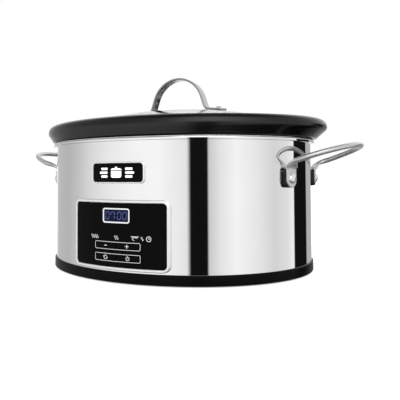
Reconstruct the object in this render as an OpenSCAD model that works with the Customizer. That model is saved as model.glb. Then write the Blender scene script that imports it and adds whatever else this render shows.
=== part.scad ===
// Oval slow cooker with a lift-out stoneware crock and a glass lid.
// Millimetres, +Z up. The origin is on the floor under the middle of the body,
// +X runs along its length, and -Y is the front with the control panel.

/* [Body] */
// Length of the steel wall, without lip or handles
body_l = 350; // [290:5:420]
// Depth of the steel wall, front to back
body_w = 280; // [240:5:330]
// Height of the steel lip above the floor
body_h = 159.4; // [134:0.2:200]
// Thickness of the steel wall
shell_t = 0.9; // [0.6:0.1:1.4]
// How far the rolled lip stands out from the wall
lip_out = 4.6; // [2.4:0.2:6]
// Height of the rolled lip
lip_h = 3.6; // [2:0.2:4]
// Height of the black plinth ring
plinth_h = 11.6; // [10:0.2:16]
// How far the plinth stands out from the wall
plinth_out = 1.8; // [1:0.1:3]
// How far the feet reach below the plinth
foot_drop = 1; // [0.6:0.2:2]
// Diameter of a rubber foot
foot_d = 22; // [16:1:28]

/* [Heating well] */
// Space between the steel wall and the well
well_gap = 20; // [19:0.5:26]
// Sheet thickness of the well
well_t = 1; // [0.8:0.1:1.6]
// Height of the underside of the well's floor above the floor
well_floor_z = 24; // [22:1:32]
// Thickness of the heater band
heater_t = 2.4; // [1.6:0.2:3]
// Height of the heater band
heater_h = 50; // [30:2:70]
// Thickness of the insulation wrap
wrap_t = 4; // [3:0.5:6]

/* [Crock] */
// Gap between crock and well
crock_gap = 2.5; // [1.5:0.25:4]
// Wall thickness of the crock under its ledge
crock_t = 9.5; // [7:0.5:12]
// Thickness of the crock's floor
crock_floor = 9; // [6:0.5:14]
// Height of the crock's ridge above the steel lip
rim_h = 26.2; // [22:0.2:32]
// How far the rim stands out past the wall at the front
rim_out_front = 4.4; // [2:0.2:8]
// How far the rim stands out past the wall at its two ends
rim_out_end = 21.3; // [14:0.5:26]
// Depth of the ledge that the lid rests on, below the ridge
ledge_drop = 5; // [4.6:0.1:7]

/* [Lid] */
// Gap between the lid's edge and the ridge around it
lid_gap = 1.2; // [0.6:0.1:2]
// Thickness of the glass
glass_t = 3.2; // [3:0.2:4.6]
// Height of the dome above the edge of the glass
dome_h = 18.8; // [14:0.2:28]
// Diameter of the steam vent's hole
vent_d = 5; // [3:0.5:8]

/* [Lid handle] */
// Outer radius of the handle's arch
arch_r = 39.2; // [32:0.4:44]
// Height of the arch above the top of the dome
arch_h = 44.5; // [40:0.5:60]
// Width of the strap
strap_w = 14; // [10:0.5:18]
// Thickness of the strap
strap_t = 2.8; // [2:0.1:4]
// Distance between the two lid screws
lid_screw_pitch = 118; // [96:1:130]

/* [Side handles] */
// Direction of the wall's normal at a rivet, from the +X axis
rivet_angle = 24; // [18:0.5:30]
// How far the rivets sit below the top of the steel lip
rivet_drop = 46; // [36:0.5:64]
// How far the middle of the bar reaches past the wall
handle_reach = 61; // [50:1:75]
// Half of the loop's width
loop_half_w = 58.3; // [54:0.5:66]
// Diameter of the bar
bar_d = 6.2; // [5:0.2:8]
// Width of the flattened tab
tab_w = 15; // [12:0.5:16]
// Thickness of the flattened tab
tab_t = 2.4; // [2:0.1:3]
// Thickness of the spacer behind a tab
spacer_t = 4.5; // [3:0.5:6]
// Diameter of a rivet's head
rivet_head_d = 11.6; // [9:0.2:12]
// Diameter of a rivet's shank
rivet_d = 4.8; // [4:0.2:6]

/* [Control panel] */
// Width of the panel's frame
panel_w = 128; // [118:1:136]
// Height of the panel's frame
panel_h = 76.8; // [74:0.4:94]
// Height of the frame's lower edge above the plinth
panel_up = 1.9; // [1:0.1:6]
// How far the frame stands out from the wall
frame_out = 3.5; // [3.2:0.1:4.5]
// Width of the frame's bright edge
frame_w = 3.4; // [2.4:0.1:4]
// Corner radius of the frame
panel_r = 8; // [6:0.5:10]
// Width of the display's frame
display_w = 35.8; // [30:0.2:44]
// Height of the display's frame
display_h = 16.4; // [14:0.1:18]
// Width of one key
key_w = 28; // [24:0.2:32]
// Height of one key
key_h = 6.6; // [6:0.2:8]
// Gap around a key
key_gap = 0.4; // [0.3:0.05:0.5]
// How far a key can be pushed in
key_travel = 0.6; // [0.4:0.1:0.8]

/* [Badge] */
// Width of the badge
badge_w = 70.5; // [50:0.5:90]
// Height of the badge
badge_h = 24.2; // [16:0.2:28]
// How far the badge's middle sits below the midpoint between panel and lip
badge_shift = 2.5; // [0:0.1:5]

/* [Cord entry] */
// Diameter of the hole for the supply cord
cord_hole_d = 7.2; // [6:0.1:9]
// Distance of the cord entry from the middle of the back
gland_x = 0; // [-30:1:30]

/* [Hidden] */
$fn = 96;

eps = 0.05;                       // air between faces that lie against each other on a curve
a = body_l / 2;
b = body_w / 2;
front_r = a * a / b;              // radius of the wall's curve at the middle of the front
oval_sides = 96;
plinth_top = foot_drop + plinth_h;

// Plinth and bottom plate
plinth_wall = 2.4;
plate_t = 1.5;
plate_z = foot_drop + 2;          // underside of the bottom plate
ledge_z = plate_z + plate_t;      // underside of the plinth's screw ledge
ledge_t = 2.5;
ledge_w = 16;
tongue_h = 5;
boss_d = 9;
boss_h = 8;
screw_d = 3;
screw_in = 10;                    // how far the plinth screws sit inside the wall
screw_angles = [30, 90, 150, 210, 270, 330];
foot_pos = [0.6, 0.5];            // feet, as shares of the two half lengths
foot_stem_d = 8;
rod_d = 4;
rod_pos = [0.52, 0.34];           // tie rods, as shares of the two half lengths

// Heating well and what is fixed to it
well_top = body_h + well_t;
well_flange_out = lip_out - 2;
heater_z = well_floor_z + 14;
heater_air = 0.2;
wrap_z = well_floor_z + 8;
wrap_h = 84;
wrap_air = 0.6;
sensor_d = 18;
sensor_h = 9;
bracket_t = 1.2;
bracket_l = 64;
bracket_w = 14;

// Crock, as distances out from the steel wall (inwards is negative)
seat_air = 0.3;
crock_out = -well_gap - well_t - crock_gap;
crock_draft = 4.5;
crock_z = well_floor_z + well_t + 2;
crock_corner = 27;
rim_z = well_top + seat_air;      // underside of the rim
ridge_z = body_h + rim_h;
ridge_in = crock_out + 2;
ridge_edge = ridge_in - 3.5;
ledge_top = ridge_z - ledge_drop;
cavity_in = crock_out - crock_t;
cavity_draft = 4;
cavity_corner = 30;
rim_flare_power = 3.4;
crock_sides = 64;

// Lid
lid_in = ridge_edge - lid_gap;    // the lid rim's outer edge, out from the wall
rim_band_w = 4.5;
rim_sheet = 0.6;                  // sheet thickness of the lid rim
lid_seat_air = 0.5;
lid_z = ledge_top + lid_seat_air;
lid_a = a + lid_in;
lid_b = b + lid_in;
lid_ratio = lid_b / lid_a;
groove = 2;                       // how deep the glass sits in its rim
groove_air = 0.15;
rim_band_h = glass_t + 2 * (rim_sheet + groove_air);
glass_a = lid_a - rim_band_w + groove;
glass_edge_z = lid_z + rim_sheet + groove_air + glass_t;
dome_r = (pow(glass_a, 2) + pow(dome_h, 2)) / (2 * dome_h);
dome_top = glass_edge_z + dome_h;
dome_steps = 9;
lid_sides = 72;
vent_y = 0.45 * lid_b;

// Lid handle
washer_t = 0.8;
washer_d = 13;
lid_screw_d = 4;
lid_hole_d = 6;
strap_top = dome_top + arch_h;
arch_z = strap_top - arch_r;      // middle of the arch's circle
splay = 19;                       // slope of the arch's legs
foot_tilt = asin(lid_screw_pitch / 2 / dome_r);
screw_top_z = sqrt(pow(dome_r, 2) - pow(lid_screw_pitch / 2, 2)) - dome_r + dome_top;
strap_foot_out = 10.5;            // the strap's end, past the screw

// Side handles
rivet_z = body_h - rivet_drop;
tab_below = 9.6;                  // the tab's round end, below the rivet
tab_above = 10.5;
spacer_w = 15;
spacer_h = 21;
rivet_head_h = 3;
loop_back = 2.4;                  // the loop's middle, inside the end of the wall
loop_rise = 0.324;
loop_curl = 0.00038;
loop_z = rivet_z + 23.8;          // height of the bar where it joins the loop
loop_join = 15;                   // that place, past the end of the wall

// Control panel
panel_z = plinth_top + panel_up;
face_out = [0.6, 2.4];            // the black face's back and front, out from the wall
face_w = panel_w - 2 * frame_w - 0.2;
face_h = panel_h - 2 * frame_w - 0.2;
window_edge = 6;                  // the steel window's edge, inside the frame
display_z = panel_z + 59.5;
display_edge = 1.6;
display_r = 2.8;
key_out = [0.9, 2.9];
key_pitch = key_w + 2 * key_gap + 0.8;
key_shift = 0.8;                  // how far the keys sit right of the middle
key_rows = [panel_z + 26.6, panel_z + 13.7];
stem_d = 4;
tray_t = 1.5;
tray_w = 112;
tray_z = [plinth_top + tongue_h + 0.5, panel_z + 75];
board_y = -(b - 10.5);            // front face of the board
board_t = 1.6;
board_w = 99;
board_z = [tray_z[0] + tray_t + 1, panel_z + 70];
switch_t = 3.4;
switch_air = 0.3;
lamp_z = panel_z + 35.6;
lamp_x = [-30, 1.2, 32];
tray_back = -(b - 16.5);
tray_front = 1.2 - wall_y(tray_w / 2, -shell_t);
post_x = 53;
post_z = [panel_z + 10, panel_z + 66];
post_d = 6;
board_screw_l = 4.2;

// Badge
badge_z = (panel_z + panel_h + body_h - lip_h) / 2 - badge_shift;
badge_r = 5.5;

// Cord entry
gland_z = plinth_top + 22;
gland_flange_d = 19;
gland_body_d = 13;
gland_out = 4.2;
gland_in = 9;
gland_air = wall_y(max(0, abs(gland_x) - gland_flange_d / 2), 0) - wall_y(gland_x, 0) + 0.2;

// ---- helpers ----

// Ellipse at a distance out from the steel wall
module oval(out) {
    polygon([for (k = [0:oval_sides - 1]) let (t = (k + 0.5) * 360 / oval_sides)
        [(a + out) * cos(t), (b + out) * sin(t)]]);
}

// Ring between two such ellipses, from height z0 to z1
module oval_ring(inner, outer, z0, z1) {
    translate([0, 0, z0]) linear_extrude(z1 - z0) difference() {
        oval(outer);
        oval(inner);
    }
}

// Flat plate in the shape of the wall
module oval_plate(out, z0, z1) {
    translate([0, 0, z0]) linear_extrude(z1 - z0) oval(out);
}

// Rectangle with round corners, about its middle
module round_rect(w, h, r) {
    union() {
        square([w - 2 * r, h], center = true);
        square([w, h - 2 * r], center = true);
        for (x = [-1, 1], y = [-1, 1]) translate([x * (w / 2 - r), y * (h / 2 - r)]) circle(r = r, $fn = 32);
    }
}

// Ring between two arcs that follow the front wall, from height z0 to z1
module front_ring(inner, outer, z0, z1) {
    translate([0, front_r - b, z0]) linear_extrude(z1 - z0) difference() {
        circle(r = front_r + outer, $fn = 240);
        circle(r = front_r + inner, $fn = 240);
    }
}

// A 2D outline in X and Z, pushed through the front wall
module front_prism(z) {
    translate([0, -b + 30, z]) rotate([90, 0, 0]) linear_extrude(60) children();
}

// The part of a front ring that lies inside such a prism
module front_piece(inner, outer, z, reach) {
    intersection() {
        front_ring(inner, outer, z - reach, z + reach);
        front_prism(z) children();
    }
}

function unit(v) = v / norm(v);
function wall_t(angle) = atan2(b * sin(angle), a * cos(angle));
// Point at a distance out from the wall, where the wall's normal has this angle
function wall_point(angle, out) = [a * cos(wall_t(angle)) + out * cos(angle),
                                   b * sin(wall_t(angle)) + out * sin(angle)];
function wall_y(x, out) = (b + out) * sqrt(1 - pow(x / (a + out), 2));

// Children are drawn with +Z along the wall's outward normal
module on_wall(angle, z) {
    p = wall_point(angle, 0);
    translate([p[0], p[1], z]) rotate([0, 0, angle]) rotate([0, 90, 0]) children();
}

// Solid skin over a list of rings with the same number of points
module skin(rings) {
    n = len(rings[0]);
    m = len(rings);
    polyhedron(
        points = [for (ring = rings) each ring],
        faces = concat(
            [[for (k = [0:n - 1]) k]],
            [for (i = [0:m - 2], k = [0:n - 1]) [i * n + k, (i + 1) * n + k, (i + 1) * n + (k + 1) % n]],
            [for (i = [0:m - 2], k = [0:n - 1]) [i * n + k, (i + 1) * n + (k + 1) % n, i * n + (k + 1) % n]],
            [[for (k = [n - 1:-1:0]) (m - 1) * n + k]]));
}

// The same, closed on itself from the last ring to the first
module hoop(rings) {
    n = len(rings[0]);
    m = len(rings);
    polyhedron(
        points = [for (ring = rings) each ring],
        faces = concat(
            [for (i = [0:m - 1], k = [0:n - 1])
                [i * n + k, (i + 1) % m * n + k, (i + 1) % m * n + (k + 1) % n]],
            [for (i = [0:m - 1], k = [0:n - 1])
                [i * n + k, (i + 1) % m * n + (k + 1) % n, i * n + (k + 1) % n]]));
}

// Round tube through the listed points
module tube(d, points) {
    sides = 8;
    m = len(points);
    function along(i) = unit(points[min(m - 1, i + 1)] - points[max(0, i - 1)]);
    function side(i) = unit(cross(along(i), [0.83, 0.21, 0.52]));
    skin([for (i = [0:m - 1]) let (u = side(i), v = cross(along(i), u))
        [for (k = [0:sides - 1]) points[i] + d / 2 * (u * cos(k * 360 / sides) + v * sin(k * 360 / sides))]]);
}

// The four rivets' angles
rivet_angles = [rivet_angle, -rivet_angle, 180 - rivet_angle, 180 + rivet_angle];

// ---- body ----

module outer_shell() color("silver") difference() {
    union() {
        oval_plate(0, plinth_top, body_h - lip_h / 2);
        oval_plate(lip_out, body_h - 0.8 * lip_h, body_h - 0.2 * lip_h);
        oval_plate(lip_out - 0.7, body_h - lip_h, body_h);
    }
    oval_plate(-shell_t, plinth_top - 1, body_h + 1);
    front_prism(panel_z + panel_h / 2)
        round_rect(panel_w - 2 * window_edge, panel_h - 2 * window_edge, panel_r / 2);
    for (angle = rivet_angles) on_wall(angle, rivet_z) cylinder(d = rivet_d + 0.2, h = 20, center = true);
    translate([gland_x, wall_y(gland_x, 0), gland_z]) rotate([90, 0, 0])
        cylinder(d = gland_body_d + 0.2, h = 30, center = true);
}

module plinth_ring() color("black") difference() {
    union() {
        oval_ring(-shell_t - eps - plinth_wall, plinth_out, foot_drop, plinth_top);
        oval_ring(-shell_t - eps - plinth_wall, -shell_t - eps, foot_drop, plinth_top + tongue_h);
        oval_ring(-ledge_w, -shell_t - plinth_wall + 1, ledge_z, ledge_z + ledge_t);
        for (t = screw_angles) translate([(a - screw_in) * cos(t), (b - screw_in) * sin(t), ledge_z + 1])
            cylinder(d = boss_d, h = ledge_t + boss_h - 1);
    }
    oval_plate(-2.2, foot_drop - 1, ledge_z);
    for (t = screw_angles) translate([(a - screw_in) * cos(t), (b - screw_in) * sin(t), 0])
        cylinder(d = screw_d, h = 40, $fn = 32);
}

module foot_places() {
    for (x = [-1, 1], y = [-1, 1]) translate([x * foot_pos[0] * a, y * foot_pos[1] * b, 0]) children();
}

module rod_places() {
    for (x = [-1, 1], y = [-1, 1]) translate([x * rod_pos[0] * a, y * rod_pos[1] * b, 0]) children();
}

module bottom_plate() color("darkgray") difference() {
    oval_plate(-2.6, plate_z, ledge_z);
    for (t = screw_angles) translate([(a - screw_in) * cos(t), (b - screw_in) * sin(t), 0])
        cylinder(d = screw_d + 0.6, h = 20, $fn = 32);
    foot_places() cylinder(d = foot_stem_d, h = 20, $fn = 32);
    rod_places() cylinder(d = rod_d + 0.6, h = 20, $fn = 32);
    for (x = [-3:3], y = [-1, 1]) translate([x * 15, y * 0.2 * b, plate_z - 1])
        linear_extrude(plate_t + 2) round_rect(5, 30, 2.4);
}

module rubber_feet() color("dimgray") foot_places() rotate_extrude() polygon([
    [0, 0], [foot_d / 2 - 1, 0], [foot_d / 2, 1], [foot_d / 2, plate_z], [foot_stem_d / 2 - eps, plate_z],
    [foot_stem_d / 2 - eps, ledge_z + 0.1], [foot_stem_d / 2 + 1, ledge_z + 0.3],
    [foot_stem_d / 2 - 1, ledge_z + 3], [0, ledge_z + 3]]);

module plinth_screws() color("silver") for (t = screw_angles)
    translate([(a - screw_in) * cos(t), (b - screw_in) * sin(t), 0]) rotate_extrude($fn = 32) polygon([
        [0, plate_z - 1.5], [2, plate_z - 1.5], [3.2, plate_z - 0.8], [3.2, plate_z],
        [screw_d / 2 - eps, plate_z], [screw_d / 2 - eps, ledge_z + boss_h], [0, ledge_z + boss_h]]);

module tie_rods() color("silver") rod_places() rotate_extrude($fn = 32) polygon([
    [0, plate_z - 1.5], [3, plate_z - 1.5], [4.2, plate_z - 0.8], [4.2, plate_z],
    [rod_d / 2, plate_z], [rod_d / 2, well_floor_z], [0, well_floor_z]]);

// ---- heating well ----

module heating_well() color("lightgray") difference() {
    union() {
        oval_plate(-well_gap, well_floor_z, body_h + well_t / 2);
        oval_plate(well_flange_out, body_h, well_top);
    }
    oval_plate(-well_gap - well_t, well_floor_z + well_t, well_top + 1);
}

module heater_band() color("tan")
    oval_ring(-well_gap + heater_air, -well_gap + heater_air + heater_t, heater_z, heater_z + heater_h);

heater_out = -well_gap + heater_air + heater_t;

// Two ears and a screw that pull the heater band tight at the back
module heater_clamp() color("silver") translate([0, b + heater_out + eps, heater_z + heater_h / 2]) union() {
    for (x = [-9, 9]) translate([x - 1, 0.6, -8]) cube([2, 8, 16]);
    translate([-14, 0.6, -8]) cube([6, 1.4, 16]);
    translate([8, 0.6, -8]) cube([6, 1.4, 16]);
    translate([-14, 5, 0]) rotate([0, 90, 0]) cylinder(d = 3.2, h = 28, $fn = 24);
    translate([-15, 5, 0]) rotate([0, 90, 0]) cylinder(d = 6, h = 3, $fn = 6);
    translate([12, 5, 0]) rotate([0, 90, 0]) cylinder(d = 6, h = 3, $fn = 6);
}

module insulation_wrap() color("ivory") difference() {
    oval_ring(heater_out + wrap_air, heater_out + wrap_air + wrap_t, wrap_z, wrap_z + wrap_h);
    translate([-panel_w / 2 - 4, -b - 10, wrap_z - 1]) cube([panel_w + 8, 60, wrap_h + 2]);
    translate([-20, b - 30, wrap_z - 1]) cube([40, 40, wrap_h + 2]);
    translate([gland_x - 15, b - 40, wrap_z - 1]) cube([30, 50, gland_z + 14 - wrap_z]);
    for (angle = rivet_angles) on_wall(angle, rivet_z) cylinder(d = 24, h = 60, center = true);
}

module temperature_sensor() color("silver") translate([0, 0, well_floor_z - sensor_h]) rotate_extrude()
    polygon([[0, 0], [3, 0], [3, 3], [sensor_d / 2, 4], [sensor_d / 2, sensor_h - eps], [0, sensor_h - eps]]);

module sensor_bracket() color("darkgray") difference() {
    union() {
        translate([-bracket_l / 2, -bracket_w / 2, well_floor_z - sensor_h - bracket_t])
            cube([bracket_l, bracket_w, bracket_t]);
        for (x = [-1, 1]) translate([x * (bracket_l - bracket_t) / 2 - bracket_t / 2, -bracket_w / 2,
                                     well_floor_z - sensor_h - bracket_t])
            cube([bracket_t, bracket_w, sensor_h + bracket_t - eps]);
    }
    cylinder(d = 3.4, h = 60, $fn = 24);
}

fuse_x = -0.3 * a;

module thermal_fuse() color("white") translate([fuse_x, 20, well_floor_z - 4.2])
    rotate([90, 0, 0]) cylinder(d = 5, h = 40, $fn = 32);

module fuse_clip() color("silver") difference() {
    translate([fuse_x - 5, -6, well_floor_z - 8]) cube([10, 12, 8 - eps]);
    translate([fuse_x, 0, well_floor_z - 4.2]) rotate([90, 0, 0]) cylinder(d = 5.2, h = 60, center = true, $fn = 32);
}

// ---- supply ----

wire_d = 2.6;
wire_gap = 2;
wire_x = 34;                                      // where the wires rise to the board
wire_z = ledge_z + 6;
wire_back_y = b - well_gap + wire_d;              // down the gap behind the well
wire_front_y = tray_back + wire_d / 2 + 1.2;      // up behind the tray
wire_end_z = panel_z + 10;

module supply_wires() color("saddlebrown") for (i = [-1, 1]) tube(wire_d, [
    [gland_x + i * wire_gap, wall_y(gland_x, 0) - gland_in - 2, gland_z],
    [gland_x + i * wire_gap, wire_back_y, gland_z - 5],
    [gland_x + i * wire_gap, wire_back_y, well_floor_z - 4],
    [gland_x + i * wire_gap, wire_back_y - 4, wire_z + 4],
    [gland_x + i * wire_gap, wire_back_y - 10, wire_z],
    [42 + i * wire_gap, 30, wire_z],
    [wire_x + i * wire_gap, -b + 50, wire_z],
    [wire_x + i * wire_gap, wire_front_y, wire_z + 5],
    [wire_x + i * wire_gap, wire_front_y, wire_end_z - 3],
    [wire_x + i * wire_gap, tray_back - 1.2, wire_end_z]]);

module cord_gland() color("black") translate([gland_x, wall_y(gland_x, 0), gland_z]) rotate([90, 0, 0])
    rotate_extrude() polygon([
        [cord_hole_d / 2, -gland_out], [gland_body_d / 2, -gland_out],
        [gland_flange_d / 2, 1.4 - gland_out], [gland_flange_d / 2, -gland_air],
        [gland_body_d / 2, -gland_air], [gland_body_d / 2, gland_in], [cord_hole_d / 2, gland_in]]);

module gland_nut() color("dimgray")
    translate([gland_x, wall_y(abs(gland_x) + gland_flange_d / 2, -shell_t) - 0.2, gland_z])
        rotate([90, 0, 0]) linear_extrude(3) difference() {
            circle(d = gland_flange_d, $fn = 6);
            circle(d = gland_body_d + 0.1);
        }

// ---- control panel ----

module panel_frame() color("gainsboro") front_piece(eps, frame_out, panel_z + panel_h / 2, panel_h)
    difference() {
        round_rect(panel_w, panel_h, panel_r);
        round_rect(panel_w - 2 * frame_w, panel_h - 2 * frame_w, panel_r - frame_w + 0.6);
    }

module key_places(row, side) {
    translate([key_shift + side * key_pitch / 2, key_rows[row] - (panel_z + panel_h / 2)]) children();
}

module panel_face() color("black") front_piece(face_out[0], face_out[1], panel_z + panel_h / 2, panel_h)
    difference() {
        round_rect(face_w, face_h, panel_r - frame_w + 0.5);
        translate([0, display_z - (panel_z + panel_h / 2)]) round_rect(display_w + 0.2, display_h + 0.2, display_r + 0.1);
        for (row = [0, 1], side = [-1, 1]) key_places(row, side)
            round_rect(key_w + 2 * key_gap, key_h + 2 * key_gap, 1.6);
    }

module display_frame() color("lightsteelblue") front_piece(face_out[0], face_out[1] + 0.3, display_z, display_h)
    difference() {
        round_rect(display_w, display_h, display_r);
        round_rect(display_w - 2 * display_edge, display_h - 2 * display_edge, display_r - 1.2);
    }

module display_window() color("midnightblue") front_piece(face_out[0], face_out[1] - 0.4, display_z, display_h)
    round_rect(display_w - 2 * display_edge - 0.1, display_h - 2 * display_edge - 0.1, display_r - 1.25);

module display_module() color("dimgray")
    translate([-display_w / 2 + 2, board_y - 7, display_z - display_h / 2 + 1.5])
        cube([display_w - 4, 7, display_h - 3]);

module board_holes() {
    for (x = [-1, 1], z = [0, 1])
        translate([x * (board_w / 2 - 5), board_y, board_z[z] + (z == 0 ? 5 : -5)]) rotate([90, 0, 0]) children();
}

module control_board() color("darkgreen") difference() {
    translate([-board_w / 2, board_y, board_z[0]]) cube([board_w, board_t, board_z[1] - board_z[0]]);
    board_holes() cylinder(d = 3.2, h = 10, center = true, $fn = 24);
}

module tact_switches() color("black") for (row = [0, 1], side = [-1, 1])
    translate([key_shift + side * key_pitch / 2, board_y, key_rows[row]]) rotate([90, 0, 0]) {
        translate([-3, -3, 0]) cube([6, 6, switch_t - 0.9]);
        cylinder(d = 3.2, h = switch_t, $fn = 32);
    }

module mode_lamps() color("white") for (x = lamp_x)
    translate([x, board_y, lamp_z]) rotate([90, 0, 0]) {
        cylinder(d = 3, h = 3, $fn = 32);
        translate([0, 0, 3]) sphere(d = 3, $fn = 32);
    }

// Open box behind the steel window: holds the board, and its posts hold the face
module panel_tray() color("dimgray") difference() {
    union() {
        difference() {
            translate([-tray_w / 2, tray_front, tray_z[0]])
                cube([tray_w, tray_back - tray_front, tray_z[1] - tray_z[0]]);
            translate([-tray_w / 2 + tray_t, tray_front - 1, tray_z[0] + tray_t])
                cube([tray_w - 2 * tray_t, tray_back - tray_front + 1 - tray_t,
                      tray_z[1] - tray_z[0] - 2 * tray_t]);
        }
        for (x = [-1, 1], z = post_z) translate([x * post_x, tray_back - 0.5, z]) rotate([90, 0, 0])
            cylinder(d = post_d, h = tray_back - 0.5 + wall_y(post_x + post_d / 2, face_out[0]) - 0.3, $fn = 32);
        translate([0, tray_back - tray_t / 2 - board_y, 0]) board_holes()
            cylinder(d = 6, h = tray_back - tray_t / 2 - board_y - board_t, $fn = 32);
    }
    translate([0, board_screw_l + 0.3, 0]) board_holes() cylinder(d = 2.4, h = 8, $fn = 24);
    translate([wire_x - 4.5, tray_back - 5, tray_z[0] - 1]) cube([9, 10, 13]);
}

module board_screws() color("silver") board_holes() rotate_extrude($fn = 24) polygon([
    [0, -board_screw_l], [1.2 - eps, -board_screw_l], [1.2 - eps, 0], [2.8, 0], [2.8, 0.8], [2, 1.6], [0, 1.6]]);

// One push key: a curved cap and the stem that meets its switch
module key(row, side) color("black") {
    stem_z = key_rows[row];
    stem_back = board_y - switch_t - key_travel - switch_air;
    cap_y = -wall_y(key_pitch / 2 + key_shift, key_out[0] + 0.8);
    front_piece(key_out[0], key_out[1], panel_z + panel_h / 2, panel_h) key_places(row, side)
        round_rect(key_w, key_h, 1.2);
    translate([key_shift + side * key_pitch / 2, stem_back, stem_z]) rotate([90, 0, 0])
        cylinder(d = stem_d, h = stem_back - cap_y, $fn = 32);
}

module key_minus() key(0, -1);
module key_plus() key(0, 1);
module key_select() key(1, -1);
module key_power() key(1, 1);

// ---- badge ----

module badge_frame() color("gainsboro") front_piece(eps, 2, badge_z, badge_h) difference() {
    round_rect(badge_w, badge_h, badge_r);
    round_rect(badge_w - 3.2, badge_h - 3.2, badge_r - 1.4);
}

module badge_plate() color("black") front_piece(eps, 1.5, badge_z, badge_h)
    round_rect(badge_w - 3.4, badge_h - 3.4, badge_r - 1.5);

// ---- side handles ----

tab_point = wall_point(rivet_angle, spacer_t + eps + tab_t / 2);
loop_a = handle_reach + loop_back;
loop_phi = acos((loop_back + loop_join) / loop_a);
function loop_height(x) = loop_z + loop_rise * (x - a - loop_join) - loop_curl * pow(x - a - loop_join, 2);
function loop_at(phi) = let (x = a - loop_back + loop_a * cos(phi)) [x, loop_half_w * sin(phi), loop_height(x)];
function bezier(p, s) = pow(1 - s, 3) * p[0] + 3 * s * pow(1 - s, 2) * p[1]
                        + 3 * s * s * (1 - s) * p[2] + pow(s, 3) * p[3];
loop_start = loop_at(loop_phi);
loop_dir = unit(loop_at(loop_phi - 1) - loop_start);
bend_z = rivet_z + tab_above;
bend = [[tab_point[0], tab_point[1], bend_z], [tab_point[0], tab_point[1], bend_z + 9],
        loop_start - 13 * loop_dir, loop_start];

// Stations from one tab's round end to the middle of the loop: [point, half width, half thickness, squareness]
tab_len = tab_below + tab_above;
tab_steps = [0, 0.04, 0.12, 0.22, 0.34, 1];
function round_end(d) = d >= tab_w / 2 ? 1 : sqrt(max(0.02, 1 - pow(1 - 2 * d / tab_w, 2)));
half_bar = concat(
    [for (s = tab_steps) [[tab_point[0], tab_point[1], rivet_z - tab_below + s * tab_len],
                          tab_w / 2 * round_end(s * tab_len), tab_t / 2, 5]],
    [for (s = [0.15:0.17:1]) let (m = min(1, s / 0.8))
        [bezier(bend, s), tab_w / 2 * (1 - m) + bar_d / 2 * m, tab_t / 2 * (1 - m) + bar_d / 2 * m, 5 - 3 * m]],
    [for (i = [0:9]) [loop_at(loop_phi * (1 - i / 9)), bar_d / 2, bar_d / 2, 2]]);
last = len(half_bar) - 1;
function flip_y(s) = [[s[0][0], -s[0][1], s[0][2]], s[1], s[2], s[3]];
bar = concat(half_bar, [for (i = [last - 1:-1:0]) flip_y(half_bar[i])]);
bar_sides = 12;

tab_last = len(tab_steps) - 1;
function heading(i) = i <= tab_last ? [0, 0, 1] : i >= len(bar) - 1 - tab_last ? [0, 0, -1]
    : unit(bar[i + 1][0] - bar[i - 1][0]);
function out_dir(i) = let (y = bar[i][0][1] < 0 ? -1 : 1) [cos(rivet_angle), y * sin(rivet_angle), 0];
function level(i) = let (t = heading(i), h = i <= last ? out_dir(i) : -out_dir(i), f = [t[0], t[1], 0] + 0.05 * h)
    unit([-f[1], f[0], 0]);
function power(v, n) = sign(v) * pow(abs(v), 2 / n);
function bar_ring(i) = let (s = bar[i], w = level(i), u = unit(cross(heading(i), w)))
    [for (k = [0:bar_sides - 1]) let (t = (k + 0.5) * 360 / bar_sides)
        s[0] + w * s[1] * power(cos(t), s[3]) + u * s[2] * power(sin(t), s[3])];

module handle_bar() color("silver") difference() {
    skin([for (i = [0:len(bar) - 1]) bar_ring(i)]);
    for (angle = [rivet_angle, -rivet_angle]) on_wall(angle, rivet_z)
        cylinder(d = rivet_d + 0.2, h = 30, $fn = 32);
}

module handle_right() handle_bar();
module handle_left() rotate([0, 0, 180]) handle_bar();

module handle_spacers() color("black") for (angle = rivet_angles) on_wall(angle, rivet_z)
    translate([0, 0, 0.3]) linear_extrude(spacer_t - 0.3) difference() {
        translate([-0.5, 0]) round_rect(spacer_h, spacer_w, 4);
        circle(d = rivet_d + 0.2, $fn = 32);
    }

module handle_rivets() color("silver") for (angle = rivet_angles) on_wall(angle, rivet_z)
    rotate_extrude($fn = 48) polygon(concat(
        [[0, -3.6], [3.6, -3.6], [4.6, -2.8], [4.6, -1.6], [rivet_d / 2, -1.6],
         [rivet_d / 2, spacer_t + tab_t + 2 * eps]],
        [for (t = [0:15:90]) [rivet_head_d / 2 * cos(t), spacer_t + tab_t + 2 * eps + rivet_head_h * sin(t)]]));

// ---- crock ----

// How far the rim stands out at this place on the ellipse
function rim_out(t) = let (angle = atan2(a * sin(t), b * cos(t)))
    rim_out_front + (rim_out_end - rim_out_front) * pow(abs(cos(angle)), rim_flare_power);
function crock_point(t, out, z) = [(a + out) * cos(t), (b + out) * sin(t), z];
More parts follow.
